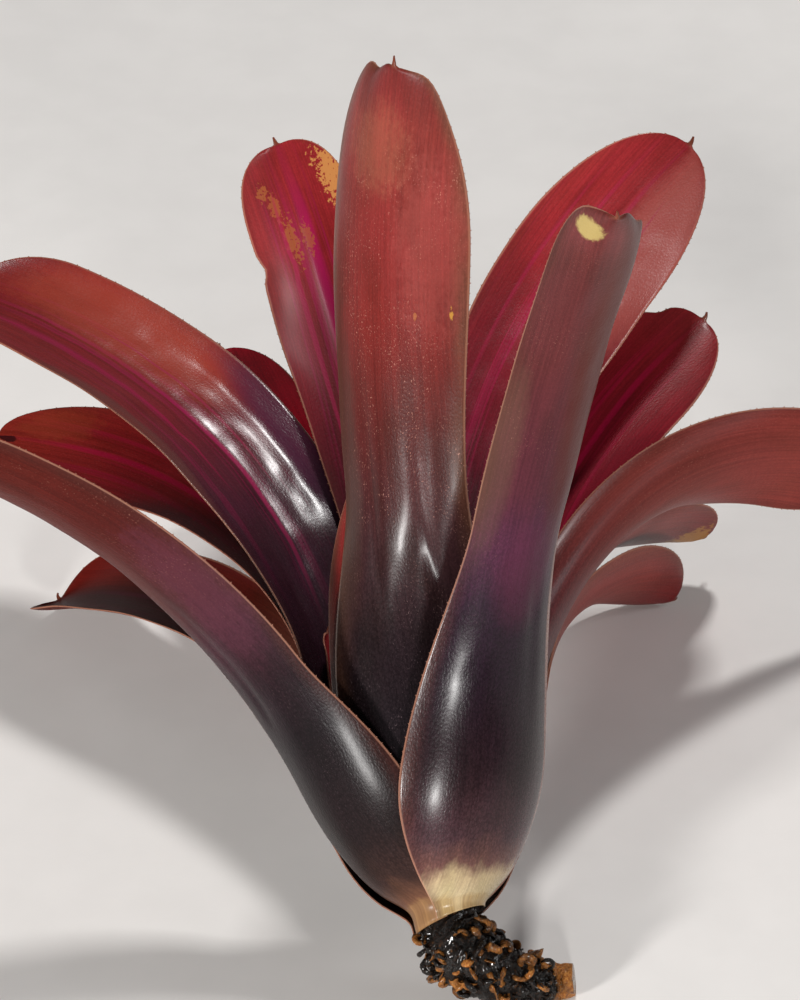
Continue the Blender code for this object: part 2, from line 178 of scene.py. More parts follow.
class NodeBench:
    """A node tree with short ways to add, set and join its nodes."""

    def __init__(self, tree: bpy.types.NodeTree) -> None:
        """Keeps the tree that the bench works on."""
        self.tree = tree

    def node(self, kind: str, **settings: object) -> bpy.types.Node:
        """Adds a node.

        Args:
            kind: the node's Blender type.
            settings: attributes to set on it.

        Returns:
            The new node.
        """
        made = self.tree.nodes.new(kind)
        for name, value in settings.items():
            setattr(made, name, value)
        return made

    def put(self, socket: Socket, value: object) -> None:
        """Joins an output to a socket, or sets the socket's own value.

        Args:
            socket: the input socket.
            value: an output socket, or the value to set.
        """
        if isinstance(value, Socket):
            self.tree.links.new(value, socket)
        else:
            socket.default_value = value

    def attribute(self, name: str, output: str = "Fac") -> Socket:
        """Reads a named attribute of the mesh."""
        return self.node("ShaderNodeAttribute", attribute_name=name).outputs[output]

    def maths(self, operation: str, a: object, b: object = 0.0, clamp: bool = False) -> Socket:
        """Joins two values by one operation.

        Args:
            operation: the name of the Math node's operation.
            a: the first value or output.
            b: the second value or output.
            clamp: whether the result is held from 0 to 1.

        Returns:
            The result.
        """
        made = self.node("ShaderNodeMath", operation=operation, use_clamp=clamp)
        self.put(made.inputs[0], a)
        self.put(made.inputs[1], b)
        return made.outputs[0]

    def times(self, first: object, *others: object) -> Socket:
        """Multiplies values, from left to right.

        Args:
            first: the first value or output.
            others: the values or outputs that multiply it.

        Returns:
            The product.
        """
        for other in others:
            first = self.maths("MULTIPLY", first, other)
        return first

    def plus(self, a: object, b: object, clamp: bool = False) -> Socket:
        """Adds two values."""
        return self.maths("ADD", a, b, clamp)

    def minus(self, a: object, b: object, clamp: bool = False) -> Socket:
        """Takes the second value from the first."""
        return self.maths("SUBTRACT", a, b, clamp)

    def sway(self, value: object, size: object) -> Socket:
        """Turns a value round 0.5 into one round 0, times a size."""
        return self.times(self.minus(value, 0.5), size)

    def between(self, value: object, low: object, high: object, start: float = 0.0,
                end: float = 1.0) -> Socket:
        """Maps a value smoothly from one range to another.

        Args:
            value: the value or output.
            low: the value that gives start.
            high: the value that gives end.
            start: the result at low and below.
            end: the result at high and above.

        Returns:
            The mapped value.
        """
        made = self.node("ShaderNodeMapRange", interpolation_type="SMOOTHSTEP")
        for index, item in enumerate((value, low, high, start, end)):
            self.put(made.inputs[index], item)
        return made.outputs[0]

    def mix(self, share: object, a: object, b: object, blend: Blend = Blend.MIX) -> Socket:
        """Mixes two colours.

        Args:
            share: how much of b shows.
            a: the first colour or output.
            b: the second colour or output.
            blend: how they are mixed.

        Returns:
            The mixed colour.
        """
        made = self.node("ShaderNodeMix", data_type="RGBA", blend_type=blend.value, clamp_factor=True)
        self.put(made.inputs[0], share)
        self.put(made.inputs[6], a)
        self.put(made.inputs[7], b)
        return made.outputs[2]

    def texture(self, kind: str, vector: object, scale: Place) -> bpy.types.Node:
        """Adds a texture over a scaled vector.

        Args:
            kind: the texture's Blender type.
            vector: the coordinates.
            scale: waves a millimetre along each axis.

        Returns:
            The texture's node.
        """
        stretched = self.node("ShaderNodeVectorMath", operation="MULTIPLY")
        self.put(stretched.inputs[0], vector)
        self.put(stretched.inputs[1], scale)
        made = self.node(kind)
        self.put(made.inputs["Vector"], stretched.outputs[0])
        self.put(made.inputs["Scale"], 1.0)
        return made

    def noise(self, vector: object, scale: Place, detail: float = 2.0, rough: float = 0.5) -> Socket:
        """Cloudy noise over a scaled vector.

        Args:
            vector: the coordinates.
            scale: waves a millimetre along each axis.
            detail: how many finer layers it holds.
            rough: how strong those layers are.

        Returns:
            A value round 0.5.
        """
        made = self.texture("ShaderNodeTexNoise", vector, scale)
        self.put(made.inputs["Detail"], detail)
        self.put(made.inputs["Roughness"], rough)
        return made.outputs["Fac"]

    def ramp(self, value: object, stops: Stops) -> Socket:
        """A run of colours.

        Args:
            value: the place in the run, from 0 to 1.
            stops: places and their colours, on the 0 to 255 scale.

        Returns:
            The colour at the value.
        """
        made = self.node("ShaderNodeValToRGB")
        points = made.color_ramp.elements
        while len(points) < len(stops):
            points.new(0.5)
        for point, (place, colour) in zip(points, stops):
            point.position = place
            point.color = linear(colour)
        self.put(made.inputs[0], value)
        return made.outputs[0]

    def bump(self, height: object, distance: float, strength: float = 1.0) -> Socket:
        """Fine relief.

        Args:
            height: the height as an output.
            distance: the depth of a height of 1, in millimetres.
            strength: how much of it shows.

        Returns:
            The surface's normal.
        """
        made = self.node("ShaderNodeBump")
        for label, value in (("Strength", strength), ("Distance", distance * MM), ("Height", height)):
            self.put(made.inputs[label], value)
        return made.outputs["Normal"]


def new_material(name: str) -> tuple[bpy.types.Material, NodeBench, bpy.types.bpy_prop_collection]:
    """Makes a material.

    Args:
        name: its name.

    Returns:
        The material, the bench of its nodes and the inputs of its shader.
    """
    made = bpy.data.materials.new(name)
    made.use_nodes = True
    return made, NodeBench(made.node_tree), made.node_tree.nodes["Principled BSDF"].inputs


Sockets = dict[Kind, Sequence[str]]


class NodeGroup:
    """A shader node group that is built once, with named inputs and outputs."""

    def __init__(self, name: str, inputs: Sockets, outputs: Sockets) -> None:
        """Makes the group's sockets.

        Args:
            name: the group's name.
            inputs: the names of its inputs, by kind.
            outputs: the names of its outputs, by kind.
        """
        self.tree = bpy.data.node_groups.new(name, "ShaderNodeTree")
        for way, sockets in (("INPUT", inputs), ("OUTPUT", outputs)):
            for kind, labels in sockets.items():
                for label in labels:
                    self.tree.interface.new_socket(name=label, in_out=way, socket_type=kind.value)
        self.bench = NodeBench(self.tree)
        self.given = self.bench.node("NodeGroupInput").outputs
        self.made = self.bench.node("NodeGroupOutput").inputs

    def place(self, bench: NodeBench, **values: object) -> bpy.types.bpy_prop_collection:
        """Places the group in a material.

        Args:
            bench: the material's nodes.
            values: every input, with underscores for spaces.

        Returns:
            The group's outputs.
        """
        node = bench.node("ShaderNodeGroup", node_tree=self.tree)
        for label, value in values.items():
            bench.put(node.inputs[label.replace("_", " ")], value)
        return node.outputs


class TissueGroup(NodeGroup):
    """Leaf tissue: veins, mottling, scurf, magenta stripes and the pale margin over the two face colours.

    The first names give waves a millimetre across, along and through the leaf; the others are colours.
    """

    CLOUDS = (0.11, 0.045, 1.0)
    VEINS = (1.9, 0.02, 1.0)
    CELLS = (2.3, 1.5, 1.0)
    PORES = (2.8, 1.5, 1.0)
    STRIPE_WANDER = (0.05, 0.02, 1.0)
    THIN_STRIPES = (0.42, 0.004, 1.0)
    SCALES = (3.4, 1.9, 1.0)
    DRIFTS = (0.16, 0.07, 1.0)
    MOTTLED = (190, 200, 165)
    VEINED: Stops = ((0.0, (208, 205, 208)), (1.0, (255, 255, 255)))
    CELL_CENTRES = (182, 174, 178)
    BLADE_SCALES = (206, 146, 128)
    SHEATH_SCALES = (112, 94, 98)

    def __init__(self) -> None:
        """Builds the group."""
        super().__init__(
            "leaf_tissue",
            {Kind.COLOUR: ("Outer", "Inner", "Edge", "Stripe", "Margin"), Kind.VECTOR: ("Grain",),
             Kind.FLOAT: ("Along", "Across", "Side", "Rib", "Stripes", "Gloss", "Sheen", "Scurf", "Mottle",
                          "Outer Roughness", "Inner Roughness")},
            {Kind.COLOUR: ("Color",), Kind.FLOAT: ("Roughness", "Coat", "Height")})
        bench, given = self.bench, self.given
        grain, side = given["Grain"], given["Side"]
        from_middle = bench.maths("ABSOLUTE", given["Across"])
        low = bench.between(given["Along"], 0.3, 0.58, 1.0, 0.0)
        skin = bench.mix(side, given["Outer"], given["Inner"])
        cloud = bench.noise(grain, self.CLOUDS, detail=3.0, rough=0.55)
        patches = bench.times(bench.between(cloud, 0.42, 0.66), given["Mottle"])
        skin = bench.mix(patches, skin, linear(self.MOTTLED), Blend.MULTIPLY)
        edge = bench.times(bench.between(from_middle, 0.72, 1.0), bench.between(cloud, 0.3, 0.6, 0.35, 0.8),
                           bench.minus(0.8, bench.times(side, 0.6)))
        skin = bench.mix(edge, skin, given["Edge"])
        veins = bench.noise(grain, self.VEINS, detail=3.0, rough=0.65)
        skin = bench.mix(0.7, skin, bench.ramp(bench.between(veins, 0.3, 0.7), self.VEINED), Blend.MULTIPLY)
        cells = bench.texture("ShaderNodeTexVoronoi", grain, self.CELLS).outputs["Distance"]
        net = bench.times(bench.between(cells, 0.25, 0.75), bench.plus(bench.times(low, 0.5), 0.2),
                          bench.between(given["Along"], 0.07, 0.13, 0.25, 1.0))
        skin = bench.mix(net, skin, linear(self.CELL_CENTRES), Blend.MULTIPLY)
        skin = self._scurfed(self._striped(skin, from_middle), low)
        line = bench.times(bench.between(from_middle, 0.972, 0.996), 0.5)
        bench.put(self.made["Color"], bench.mix(line, skin, given["Margin"]))
        self._surface(veins, cells, low)

    def _striped(self, skin: Socket, from_middle: Socket) -> Socket:
        """Adds the magenta midrib and its side stripes to the inner face.

        Args:
            skin: the colour so far.
            from_middle: 0 at the midrib and 1 at the margins.

        Returns:
            The striped colour.
        """
        bench, given = self.bench, self.given
        wander = bench.noise(given["Grain"], self.STRIPE_WANDER, detail=1.0)
        off = bench.plus(given["Across"], bench.sway(wander, 0.12))
        off = bench.maths("DIVIDE", bench.maths("ABSOLUTE", off), given["Rib"])
        middle = bench.between(off, 0.45, 1.5, 1.0, 0.0)
        thin = bench.noise(given["Grain"], self.THIN_STRIPES, detail=3.0, rough=0.7)
        thin = bench.times(bench.between(thin, 0.52, 0.66), bench.between(from_middle, 0.45, 0.8, 0.6, 0.12))
        both = bench.maths("MAXIMUM", middle, thin)
        fade = bench.times(bench.between(given["Along"], 0.36, 0.62),
                           bench.between(given["Along"], 0.84, 0.97, 1.0, 0.2))
        share = bench.times(both, fade, bench.times(given["Side"], given["Stripes"]))
        return bench.mix(share, skin, given["Stripe"])

    def _scurfed(self, skin: Socket, low: Socket) -> Socket:
        """Dusts the skin with pale scales, in drifts, densest on the outer face.

        Args:
            skin: the colour so far.
            low: 1 in the sheath and 0 in the blade.

        Returns:
            The dusted colour.
        """
        bench, given = self.bench, self.given
        scales = bench.between(bench.noise(given["Grain"], self.SCALES, rough=0.6), 0.61, 0.74)
        drift = bench.between(bench.noise(given["Grain"], self.DRIFTS), 0.4, 0.72, 0.08, 0.9)
        outward = bench.minus(1.0, bench.times(given["Side"], 0.72))
        share = bench.times(scales, drift, given["Scurf"], outward)
        pale = bench.mix(low, linear(self.BLADE_SCALES), linear(self.SHEATH_SCALES))
        return bench.mix(share, skin, pale)

    def _surface(self, veins: Socket, cells: Socket, low: Socket) -> None:
        """Sets the roughness, the gloss and the fine relief.

        Args:
            veins: the lengthwise veins.
            cells: the scaly cells of the skin.
            low: 1 in the sheath and 0 in the blade.
        """
        bench, given = self.bench, self.given
        pores = bench.noise(given["Grain"], self.PORES)
        outer = bench.minus(given["Outer Roughness"], bench.times(low, 0.08))
        towards_inner = bench.times(given["Side"], bench.minus(given["Inner Roughness"], outer))
        rough = bench.plus(bench.plus(outer, towards_inner), bench.sway(pores, 0.2), clamp=True)
        bench.put(self.made["Roughness"], rough)
        sheen, gloss = bench.times(low, given["Sheen"]), bench.times(given["Side"], given["Gloss"])
        coat = bench.maths("MAXIMUM", sheen, gloss)
        bench.put(self.made["Coat"], bench.times(coat, bench.between(pores, 0.3, 0.7, 0.6, 1.0)))
        height = bench.plus(bench.times(pores, 0.5), bench.times(veins, 0.6))
        bench.put(self.made["Height"], bench.minus(height, bench.times(cells, 0.5)))


class BlotchGroup(NodeGroup):
    """The mask of one ragged blotch at a place on the leaf."""

    TORN = (0.45, 0.3, 1.0)
    SPECKS = (1.3, 0.7, 1.0)
    RIM = 0.95
    MOST_RAGGED = 5.0

    def __init__(self) -> None:
        """Builds the group."""
        super().__init__(
            "leaf_blotch",
            {Kind.VECTOR: ("Grain",),
             Kind.FLOAT: ("Along", "Across", "Side", "At Along", "At Across", "Long", "Wide", "On Inner",
                          "Ragged", "Fine", "Soft")},
            {Kind.FLOAT: ("Mask",)})
        bench, given = self.bench, self.given
        up, out = (bench.maths("DIVIDE", bench.minus(given[way], given["At " + way]), given[size])
                   for way, size in (("Along", "Long"), ("Across", "Wide")))
        reach = bench.plus(bench.times(up, up), bench.times(out, out))
        torn = bench.noise(given["Grain"], self.TORN, detail=4.0, rough=0.7)
        specks = bench.noise(given["Grain"], self.SPECKS, rough=0.6)
        torn = bench.plus(torn, bench.sway(specks, given["Fine"]))
        reach = bench.plus(reach, bench.sway(torn, bench.times(given["Ragged"], self.MOST_RAGGED)))
        soft = bench.minus(self.RIM, given["Soft"]), bench.plus(self.RIM, given["Soft"])
        mask = bench.between(reach, *soft, 1.0, 0.0)
        other = bench.maths("ABSOLUTE", bench.minus(given["Side"], given["On Inner"]))
        bench.put(self.made["Mask"], bench.times(mask, bench.minus(1.0, other, clamp=True)))


@dataclass(frozen=True)
class Blotch:
    """One patch of another colour on a leaf, in shares of its length and of its half width."""

    along: float
    across: float
    long: float
    wide: float
    colour: Colour
    face: Face = Face.INNER
    ragged: float = 0.5
    fine: float = 0.6
    strength: float = 0.85
    soft: float = 0.2


CREAM = (210, 190, 150)
OCHRE = (150, 100, 52)
BRICK: Stops = (
    (0.0, OCHRE), (0.03, CREAM), (0.07, (70, 46, 46)), (0.15, (32, 24, 29)), (0.25, (36, 28, 32)),
    (0.35, (46, 32, 36)), (0.45, (66, 40, 42)), (0.53, (82, 36, 36)), (0.62, (100, 34, 30)),
    (0.7, (124, 38, 34)), (0.8, (134, 42, 40)), (0.93, (140, 50, 45)), (1.0, (122, 40, 40)))
MAUVE: Stops = (
    (0.0, (78, 44, 22)), (0.022, (120, 78, 40)), (0.04, (190, 160, 112)), (0.055, CREAM),
    (0.078, (200, 176, 138)), (0.098, (112, 74, 68)), (0.13, (76, 48, 54)), (0.2, (46, 28, 34)),
    (0.3, (36, 20, 32)), (0.38, (46, 24, 42)), (0.45, (82, 38, 62)), (0.52, (86, 38, 50)),
    (0.7, (92, 40, 42)), (0.86, (96, 44, 44)), (0.95, (116, 54, 54)), (1.0, (100, 44, 42)))
RUSSET: Stops = (
    (0.0, (120, 74, 40)), (0.03, (180, 140, 92)), (0.06, (110, 74, 56)), (0.1, (58, 38, 34)),
    (0.17, (34, 23, 24)), (0.3, (27, 18, 23)), (0.38, (40, 22, 30)), (0.46, (64, 32, 42)),
    (0.55, (74, 32, 34)), (0.66, (78, 25, 21)), (0.8, (86, 26, 20)), (1.0, (104, 28, 20)))
SPOTTED_CRIMSON: Stops = (
    (0.0, OCHRE), (0.05, (110, 80, 60)), (0.12, (46, 28, 36)), (0.36, (50, 26, 36)), (0.46, (60, 28, 42)),
    (0.54, (76, 28, 44)), (0.62, (102, 32, 44)), (0.7, (126, 36, 42)), (0.8, (134, 36, 40)),
    (0.92, (136, 32, 32)), (1.0, (124, 22, 26)))
CRIMSON: Stops = (
    (0.0, OCHRE), (0.05, (110, 80, 60)), (0.12, (44, 22, 34)), (0.34, (44, 14, 32)), (0.45, (68, 18, 36)),
    (0.55, (102, 24, 38)), (0.7, (134, 30, 42)), (0.85, (156, 40, 44)), (1.0, (154, 42, 46)))
DEEP: Stops = (
    (0.0, OCHRE), (0.05, (110, 80, 60)), (0.12, (44, 20, 28)), (0.4, (112, 20, 38)), (0.6, (142, 24, 46)),
    (0.75, (136, 22, 38)), (0.92, (146, 32, 40)), (1.0, (146, 38, 42)))
ROSY: Stops = (
    (0.0, OCHRE), (0.05, (130, 96, 72)), (0.12, (66, 42, 42)), (0.35, (112, 54, 50)), (0.6, (142, 62, 58)),
    (0.85, (146, 58, 52)), (1.0, (116, 28, 30)))
CLARET: Stops = (
    (0.0, OCHRE), (0.12, (60, 20, 30)), (0.5, (140, 18, 36)), (1.0, (158, 22, 38)))


@dataclass(frozen=True)
class LeafFinish:
    """The colours and gloss of one leaf."""

    outer: Stops = BRICK
    inner: Stops = CRIMSON
    edge: Colour = (104, 70, 50)
    stripe: Colour = (186, 24, 104)
    margin: Colour = (186, 132, 108)
    spine: Colour = (112, 58, 42)
    rib: float = 0.06
    stripes: float = 0.8
    gloss: float = 0.2
    sheen: float = 0.34
    coat_roughness: float = 0.2
    specular: float = 0.13
    scurf: float = 0.6
    mottle: float = 0.45
    outer_roughness: float = 0.4
    inner_roughness: float = 0.24
    relief: float = 0.05
    blotches: tuple[Blotch, ...] = ()

    COLOUR_DRIFTS = (0.22, 0.1, 1.0)
    COLOUR_DRIFT = 0.05

    def material(self, name: str, tissue: TissueGroup, blotch: BlotchGroup) -> bpy.types.Material:
        """Makes the leaf's material.

        Args:
            name: the material's name.
            tissue: the shared tissue group.
            blotch: the shared blotch group.

        Returns:
            The material.
        """
        made, bench, shader = new_material(name)
        place = {"Grain": bench.attribute("grain", "Vector")}
        place |= {label: bench.attribute(label.lower()) for label in ("Along", "Across", "Side")}
        drift = bench.noise(place["Grain"], self.COLOUR_DRIFTS, detail=3.0, rough=0.6)
        drifted = bench.plus(place["Along"], bench.sway(drift, self.COLOUR_DRIFT))
        skin = tissue.place(
            bench, Outer=bench.ramp(drifted, self.outer), Inner=bench.ramp(drifted, self.inner),
            Edge=linear(self.edge), Stripe=linear(self.stripe), Margin=linear(self.margin), Rib=self.rib,
            Stripes=self.stripes, Gloss=self.gloss, Sheen=self.sheen, Scurf=self.scurf, Mottle=self.mottle,
            Outer_Roughness=self.outer_roughness, Inner_Roughness=self.inner_roughness, **place)
        colour = skin["Color"]
        for patch in self.blotches:
            mask = blotch.place(
                bench, At_Along=patch.along, At_Across=patch.across, Long=patch.long, Wide=patch.wide,
                On_Inner=patch.face.value, Ragged=patch.ragged, Fine=patch.fine, Soft=patch.soft, **place)
            colour = bench.mix(bench.times(mask["Mask"], patch.strength), colour, linear(patch.colour))
        colour = bench.mix(bench.attribute("spine"), colour, linear(self.spine))
        bench.put(shader["Base Color"], colour)
        bench.put(shader["Roughness"], skin["Roughness"])
        bench.put(shader["Coat Weight"], skin["Coat"])
        bench.put(shader["Normal"], bench.bump(skin["Height"], self.relief))
        shader["Coat Roughness"].default_value = self.coat_roughness
        shader["Specular IOR Level"].default_value = self.specular
        return made


@dataclass(frozen=True)
class Lobe:
    """A bulge or dip of the tip's outline: its place across, its width and its height, in millimetres."""

    across: float
    width: float
    height: float


@dataclass(frozen=True)
class Crease:
    """A shallow lengthwise fold.

    Its place and width are shares of the half width; its depth and the stretch it runs over are millimetres.
    """

    across: float
    width: float
    depth: float
    start: float
    end: float


@dataclass(frozen=True)
class Notch:
    """A nick in one margin: its place along, its side as -1 or 1, its length and its depth."""

    at: float
    side: float
    long: float
    deep: float


@dataclass
class Leaf:
    """One strap leaf, from its sheath on the stem to the spine at its tip.

    In the leaf's own frame the stem stands on Z and the midrib leaves it towards -Y. Distances are measured
    along the midrib from the foot, and widths from the midrib to one margin.

    Attributes:
        name: the node that the leaf replaces.
        angle: its turn round the stem, counted on through the whole spiral.
        length: its length without the spine.
        blade: the half width at the widest part.
        neck: the half width at the neck.
        neck_at: the distance of the neck.
        tip: the length of the rounded tip.
        wrap: how far the sheath reaches round the stem on each side.
        trough: how far each half of the blade curls in.
        tip_trough: the same at the tip.
        spread: how far the blade bends outward by its tip.
        bend: the power of that bend, where a low one bends early.
        free: where the bend starts.
        swing: how far the blade turns sideways by its tip.
        turn: how far it rolls just past free.
        twist: how far it rolls further by its tip.
        finish: its colours and gloss.
        square_left: how square the tip's left corner is.
        square_right: how square the right one is.
        waves: the height of the margins' waves.
        creases: its folds.
        notches: its nicks.
        lobes: bulges and dips of the tip's outline.
        spine_bend: how far the spine hooks inward, in radians.
        collar: whether the foot runs down the stem.
        pucker: the height of the blade's uneven relief.
    """

    name: str
    angle: float
    length: float
    blade: float
    neck: float
    neck_at: float
    tip: float
    wrap: float
    trough: float
    tip_trough: float
    spread: float
    bend: float
    free: float
    swing: float
    turn: float
    twist: float
    finish: LeafFinish
    square_left: float = 2.3
    square_right: float = 2.3
    waves: float = 0.0
    creases: tuple[Crease, ...] = ()
    notches: tuple[Notch, ...] = ()
    lobes: tuple[Lobe, ...] = ()
    spine_bend: float = 0.9
    collar: bool = False
    pucker: float = 0.0

    COLLAR_ROWS = 6
    COLLAR_DEPTH = 1.0
    COLLAR_SLANT = 1.7
    COLLAR_PINCH = 0.2
    COLLAR_SMOOTHINGS = 6
    FOOT_RUN = 9.0
    STEM_RADIUS = 9.5
    TURN_INWARD = 1.15
    TURN_UPWARD = 1.6
    CROWN = (-24.0, 4.0, 19.0)
    LEAN_BACK = 52.0
    LEAN_LEFT = 10.0
    CUP_FLARE = 60.0
    CUP_CURVE = 1.3
    CUP_ARC = 37.0
    SHEATH_END = 24.0
    SHEATH_THICK = 0.62
    BLADE_THICK = 1.05
    MARGIN_THICK = 0.34
    MARGIN_ROUND = 0.45
    THICK_RUN = 60.0
    TIP_HALF_WIDTH = 0.36
    SPINE_LENGTH = 2.4
    SPINE_START = 1.5
    SPINE_ROOT = 0.6
    SPINE_END = 0.1
    SPINE_CURVE = 1.2
    SPINE_LAP = 1.0
    SPINE_THICK = 0.55
    SPINE_THINS = 0.4
    ROUNDING = 2.3
    WIDEST_AT = 0.62
    SWING_POWER = 1.3
    ROLL_RUN = 40.0
    BODY_ROWS = 84
    TIP_ROWS = 24
    SPINE_ROWS = 6
    COLUMNS = 35
    CROWDING = 0.45
    STEPS = 900
    CREASE_RUN = 18.0
    LEFT_WAVES = ((9.0, 1.0, 0.6), (5.3, 2.0, 0.4))
    RIGHT_WAVES = ((7.7, 3.0, 0.6), (4.9, -1.0, 0.4))
    WAVES_START = 60.0
    WAVES_RUN = 40.0
    WAVES_END = 6.0
    PUCKER_START = 34.0
    PUCKER_RUN = 20.0
    PUCKER_END = 8.0
    PUCKER_NOISE = (0.8, 2.0, 3)
    PUCKERS_ACROSS = 1.9
    PUCKER_LENGTH = 13.0
    TEETH_START = 34.0
    TEETH_END = 1.2
    TOOTH_PITCH = 2.3
    TOOTH_LENGTH = 0.32
    TOOTH_WIDTH = 0.45

    def half_width(self, s: Array, cup_radius: Array, blade_part: Array, square: float) -> Array:
        """Half of the width, measured round the section.

        Args:
            s: distances along the midrib.
            cup_radius: the cup's radius at each.
            blade_part: 0 in the sheath and 1 in the blade.
            square: how square the rounded tip is.

        Returns:
            The half width at each distance.
        """
        past_neck = (s - self.neck_at) / (self.WIDEST_AT * (self.length - self.neck_at))
        blade = self.neck + (self.blade - self.neck) * ease(past_neck)
        near_tip = np.clip((s - self.length + self.tip) / self.tip, 0.0, 1.0)
        blade = blade * np.sqrt(1.0 - near_tip**square) + self.TIP_HALF_WIDTH
        past_end = np.clip((s - self.length) / self.SPINE_LENGTH, 0.0, 1.0)
        spine = self.SPINE_ROOT * (1.0 - past_end) ** self.SPINE_CURVE + self.SPINE_END * past_end
        spine = np.where(s > self.length - self.SPINE_START, spine, 0.0)
        sheath = cup_radius * math.radians(self.wrap)
        body = np.where(s > self.length, 0.0, sheath * (1.0 - blade_part) + blade * blade_part)
        return np.maximum(body, spine)

    def stations(self) -> Array:
        """Spaces the rows along the midrib, closer together round the tip.

        Returns:
            The distance of each row.
        """
        body = np.linspace(0.0, self.length - self.tip, self.BODY_ROWS)
        around = np.sin(np.linspace(0.0, math.pi / 2.0, self.TIP_ROWS + 1))[1:]
        tip = self.length - self.tip + self.tip * around
        spine = self.length + self.SPINE_LENGTH * np.linspace(0.0, 1.0, self.SPINE_ROWS + 1)[1:]
        return np.concatenate([body, tip, spine])

    def middle_surface(self) -> tuple[Array, Array, Array]:
        """Points halfway through the leaf.

        Returns:
            The points as (row, column, 3) in the leaf's own frame, the columns' places from -1 to 1,
            and the distance of each point from the midrib in millimetres, round the section.
        """
        s = np.linspace(0.0, self.length + self.SPINE_LENGTH, self.STEPS)
        step = s[1]
        flare = np.radians(self.CUP_FLARE) * (1.0 - np.clip(s / self.CUP_ARC, 0.0, 1.0)) ** self.CUP_CURVE
        along = np.clip((s - self.free) / (self.length - self.free), 0.0, None)
        past_end = np.clip((s - self.length) / self.SPINE_LENGTH, 0.0, 1.0)
        tilt = flare + math.radians(self.spread) * along**self.bend - self.spine_bend * past_end
        swing = math.radians(self.swing) * along**self.SWING_POWER
        roll = math.radians(self.turn) * ease((s - self.free) / self.ROLL_RUN)
        roll = roll + math.radians(self.twist) * along
        across, outward, up = np.array([1.0, 0.0, 0.0]), np.array([0.0, -1.0, 0.0]), np.array([0.0, 0.0, 1.0])
        rise = turned(up, outward, tilt)[0]
        forward, side = turned(rise, across, swing)
        foot = self.STEM_RADIUS - self.TURN_INWARD * self.angle / 360.0
        midrib = running_sum(forward, step) + foot * outward
        cup_radius = foot + running_sum(np.sin(flare), step)
        blade_part = ease((s - self.SHEATH_END) / (self.neck_at - self.SHEATH_END))
        inward = turned(-outward, up, tilt * blade_part)[0]
        turned_side, turned_in = turned(side, inward, roll)
        past_neck = ease((s - self.neck_at) / (self.length - self.neck_at))
        trough = self.trough + (self.tip_trough - self.trough) * past_neck
        curl = np.radians(self.wrap * (1.0 - blade_part) + trough * blade_part)
        plain, left, right = (self.half_width(s, cup_radius, blade_part, square)
                              for square in (self.ROUNDING, self.square_left, self.square_right))
        for notch in self.notches:
            dent = notch.deep * bell(s, notch.at, notch.long)
            left, right = (left - dent, right) if notch.side < 0.0 else (left, right - dent)
        radius = plain / curl

        rows = self.stations()
        even = np.linspace(-1.0, 1.0, self.COLUMNS)
        places = self.CROWDING * np.sin(even * math.pi / 2.0) + (1.0 - self.CROWDING) * even
        midrib, turned_side, turned_in, ahead = (
            self.at_rows(rows, s, v) for v in (midrib, turned_side, turned_in, forward))
        radius, blade_part, left, right = (
            self.at_rows(rows, s, v[:, None]) for v in (radius, blade_part, left, right))
        reach = np.where(places < 0.0, left, right) * places
        around = reach / radius
        wound = (1.0 - blade_part) * np.degrees(around) / 360.0
        section = radius - self.TURN_INWARD * wound
        points = midrib[:, None] + (section * np.sin(around))[..., None] * turned_side[:, None]
        points = points + (radius - section * np.cos(around))[..., None] * turned_in[:, None]
        points[..., 2] += self.TURN_UPWARD * wound
        near_tip = ease((rows - self.length + self.tip) / self.tip)[:, None]
        for lobe in self.lobes:
            rise = lobe.height * near_tip * bell(reach, lobe.across, lobe.width)
            points = points + ahead[:, None] * rise[..., None]
        return points, places, reach

    @classmethod
    def collar_depth(cls, azimuth: Array) -> Array:
        """How far the sheaths reach down the stem below the crown, by the turn round it in radians."""
        return cls.COLLAR_DEPTH - cls.COLLAR_SLANT * np.sin(azimuth)

    def add_collar(self, points: Array, rows: Array, reach: Array) -> tuple[Array, Array, Array]:
        """Runs the foot of the sheath down the stem.

        Args:
            points: points halfway through the leaf.
            rows: distances of the rows along the midrib.
            reach: distances from the midrib.

        Returns:
            The points, rows and reach with the collar's rows in front.
        """
        foot, count = points[0], self.COLLAR_ROWS
        azimuth = math.radians(self.angle) + np.arctan2(foot[:, 0], -foot[:, 1])
        depth = self.collar_depth(azimuth) + self.TURN_UPWARD * self.angle / 360.0 + foot[:, 2]
        inward = unit(-foot * (1.0, 1.0, 0.0))
        down = np.linspace(1.0, 0.0, count + 1)[:-1, None, None]
        below = foot - down * depth[:, None] * np.array([0.0, 0.0, 1.0])
        below = below + self.COLLAR_PINCH * down**2 * inward
        points = np.concatenate([below, points])
        for _ in range(self.COLLAR_SMOOTHINGS):
            beside = points[count - 4:count + 3] + points[count - 2:count + 5]
            points[count - 3:count + 4] = 0.5 * points[count - 3:count + 4] + 0.25 * beside
        rows = np.concatenate([-self.COLLAR_DEPTH * down[:, 0, 0], rows])
        return points, rows, np.concatenate([np.repeat(reach[:1], count, axis=0), reach])

    @staticmethod
    def at_rows(rows: Array, s: Array, values: Array) -> Array:
        """Values known at the distances s, read off at the rows."""
        return np.stack([np.interp(rows, s, column) for column in values.T], axis=-1)

    @staticmethod
    def rise_and_fall(rows: Array, start: float, end: float, rise: float, fall: float) -> Array:
        """1 along a stretch of the leaf, eased in over rise from its start and out over fall to its end."""
        return ease((rows - start) / rise) * ease((end - rows) / fall)

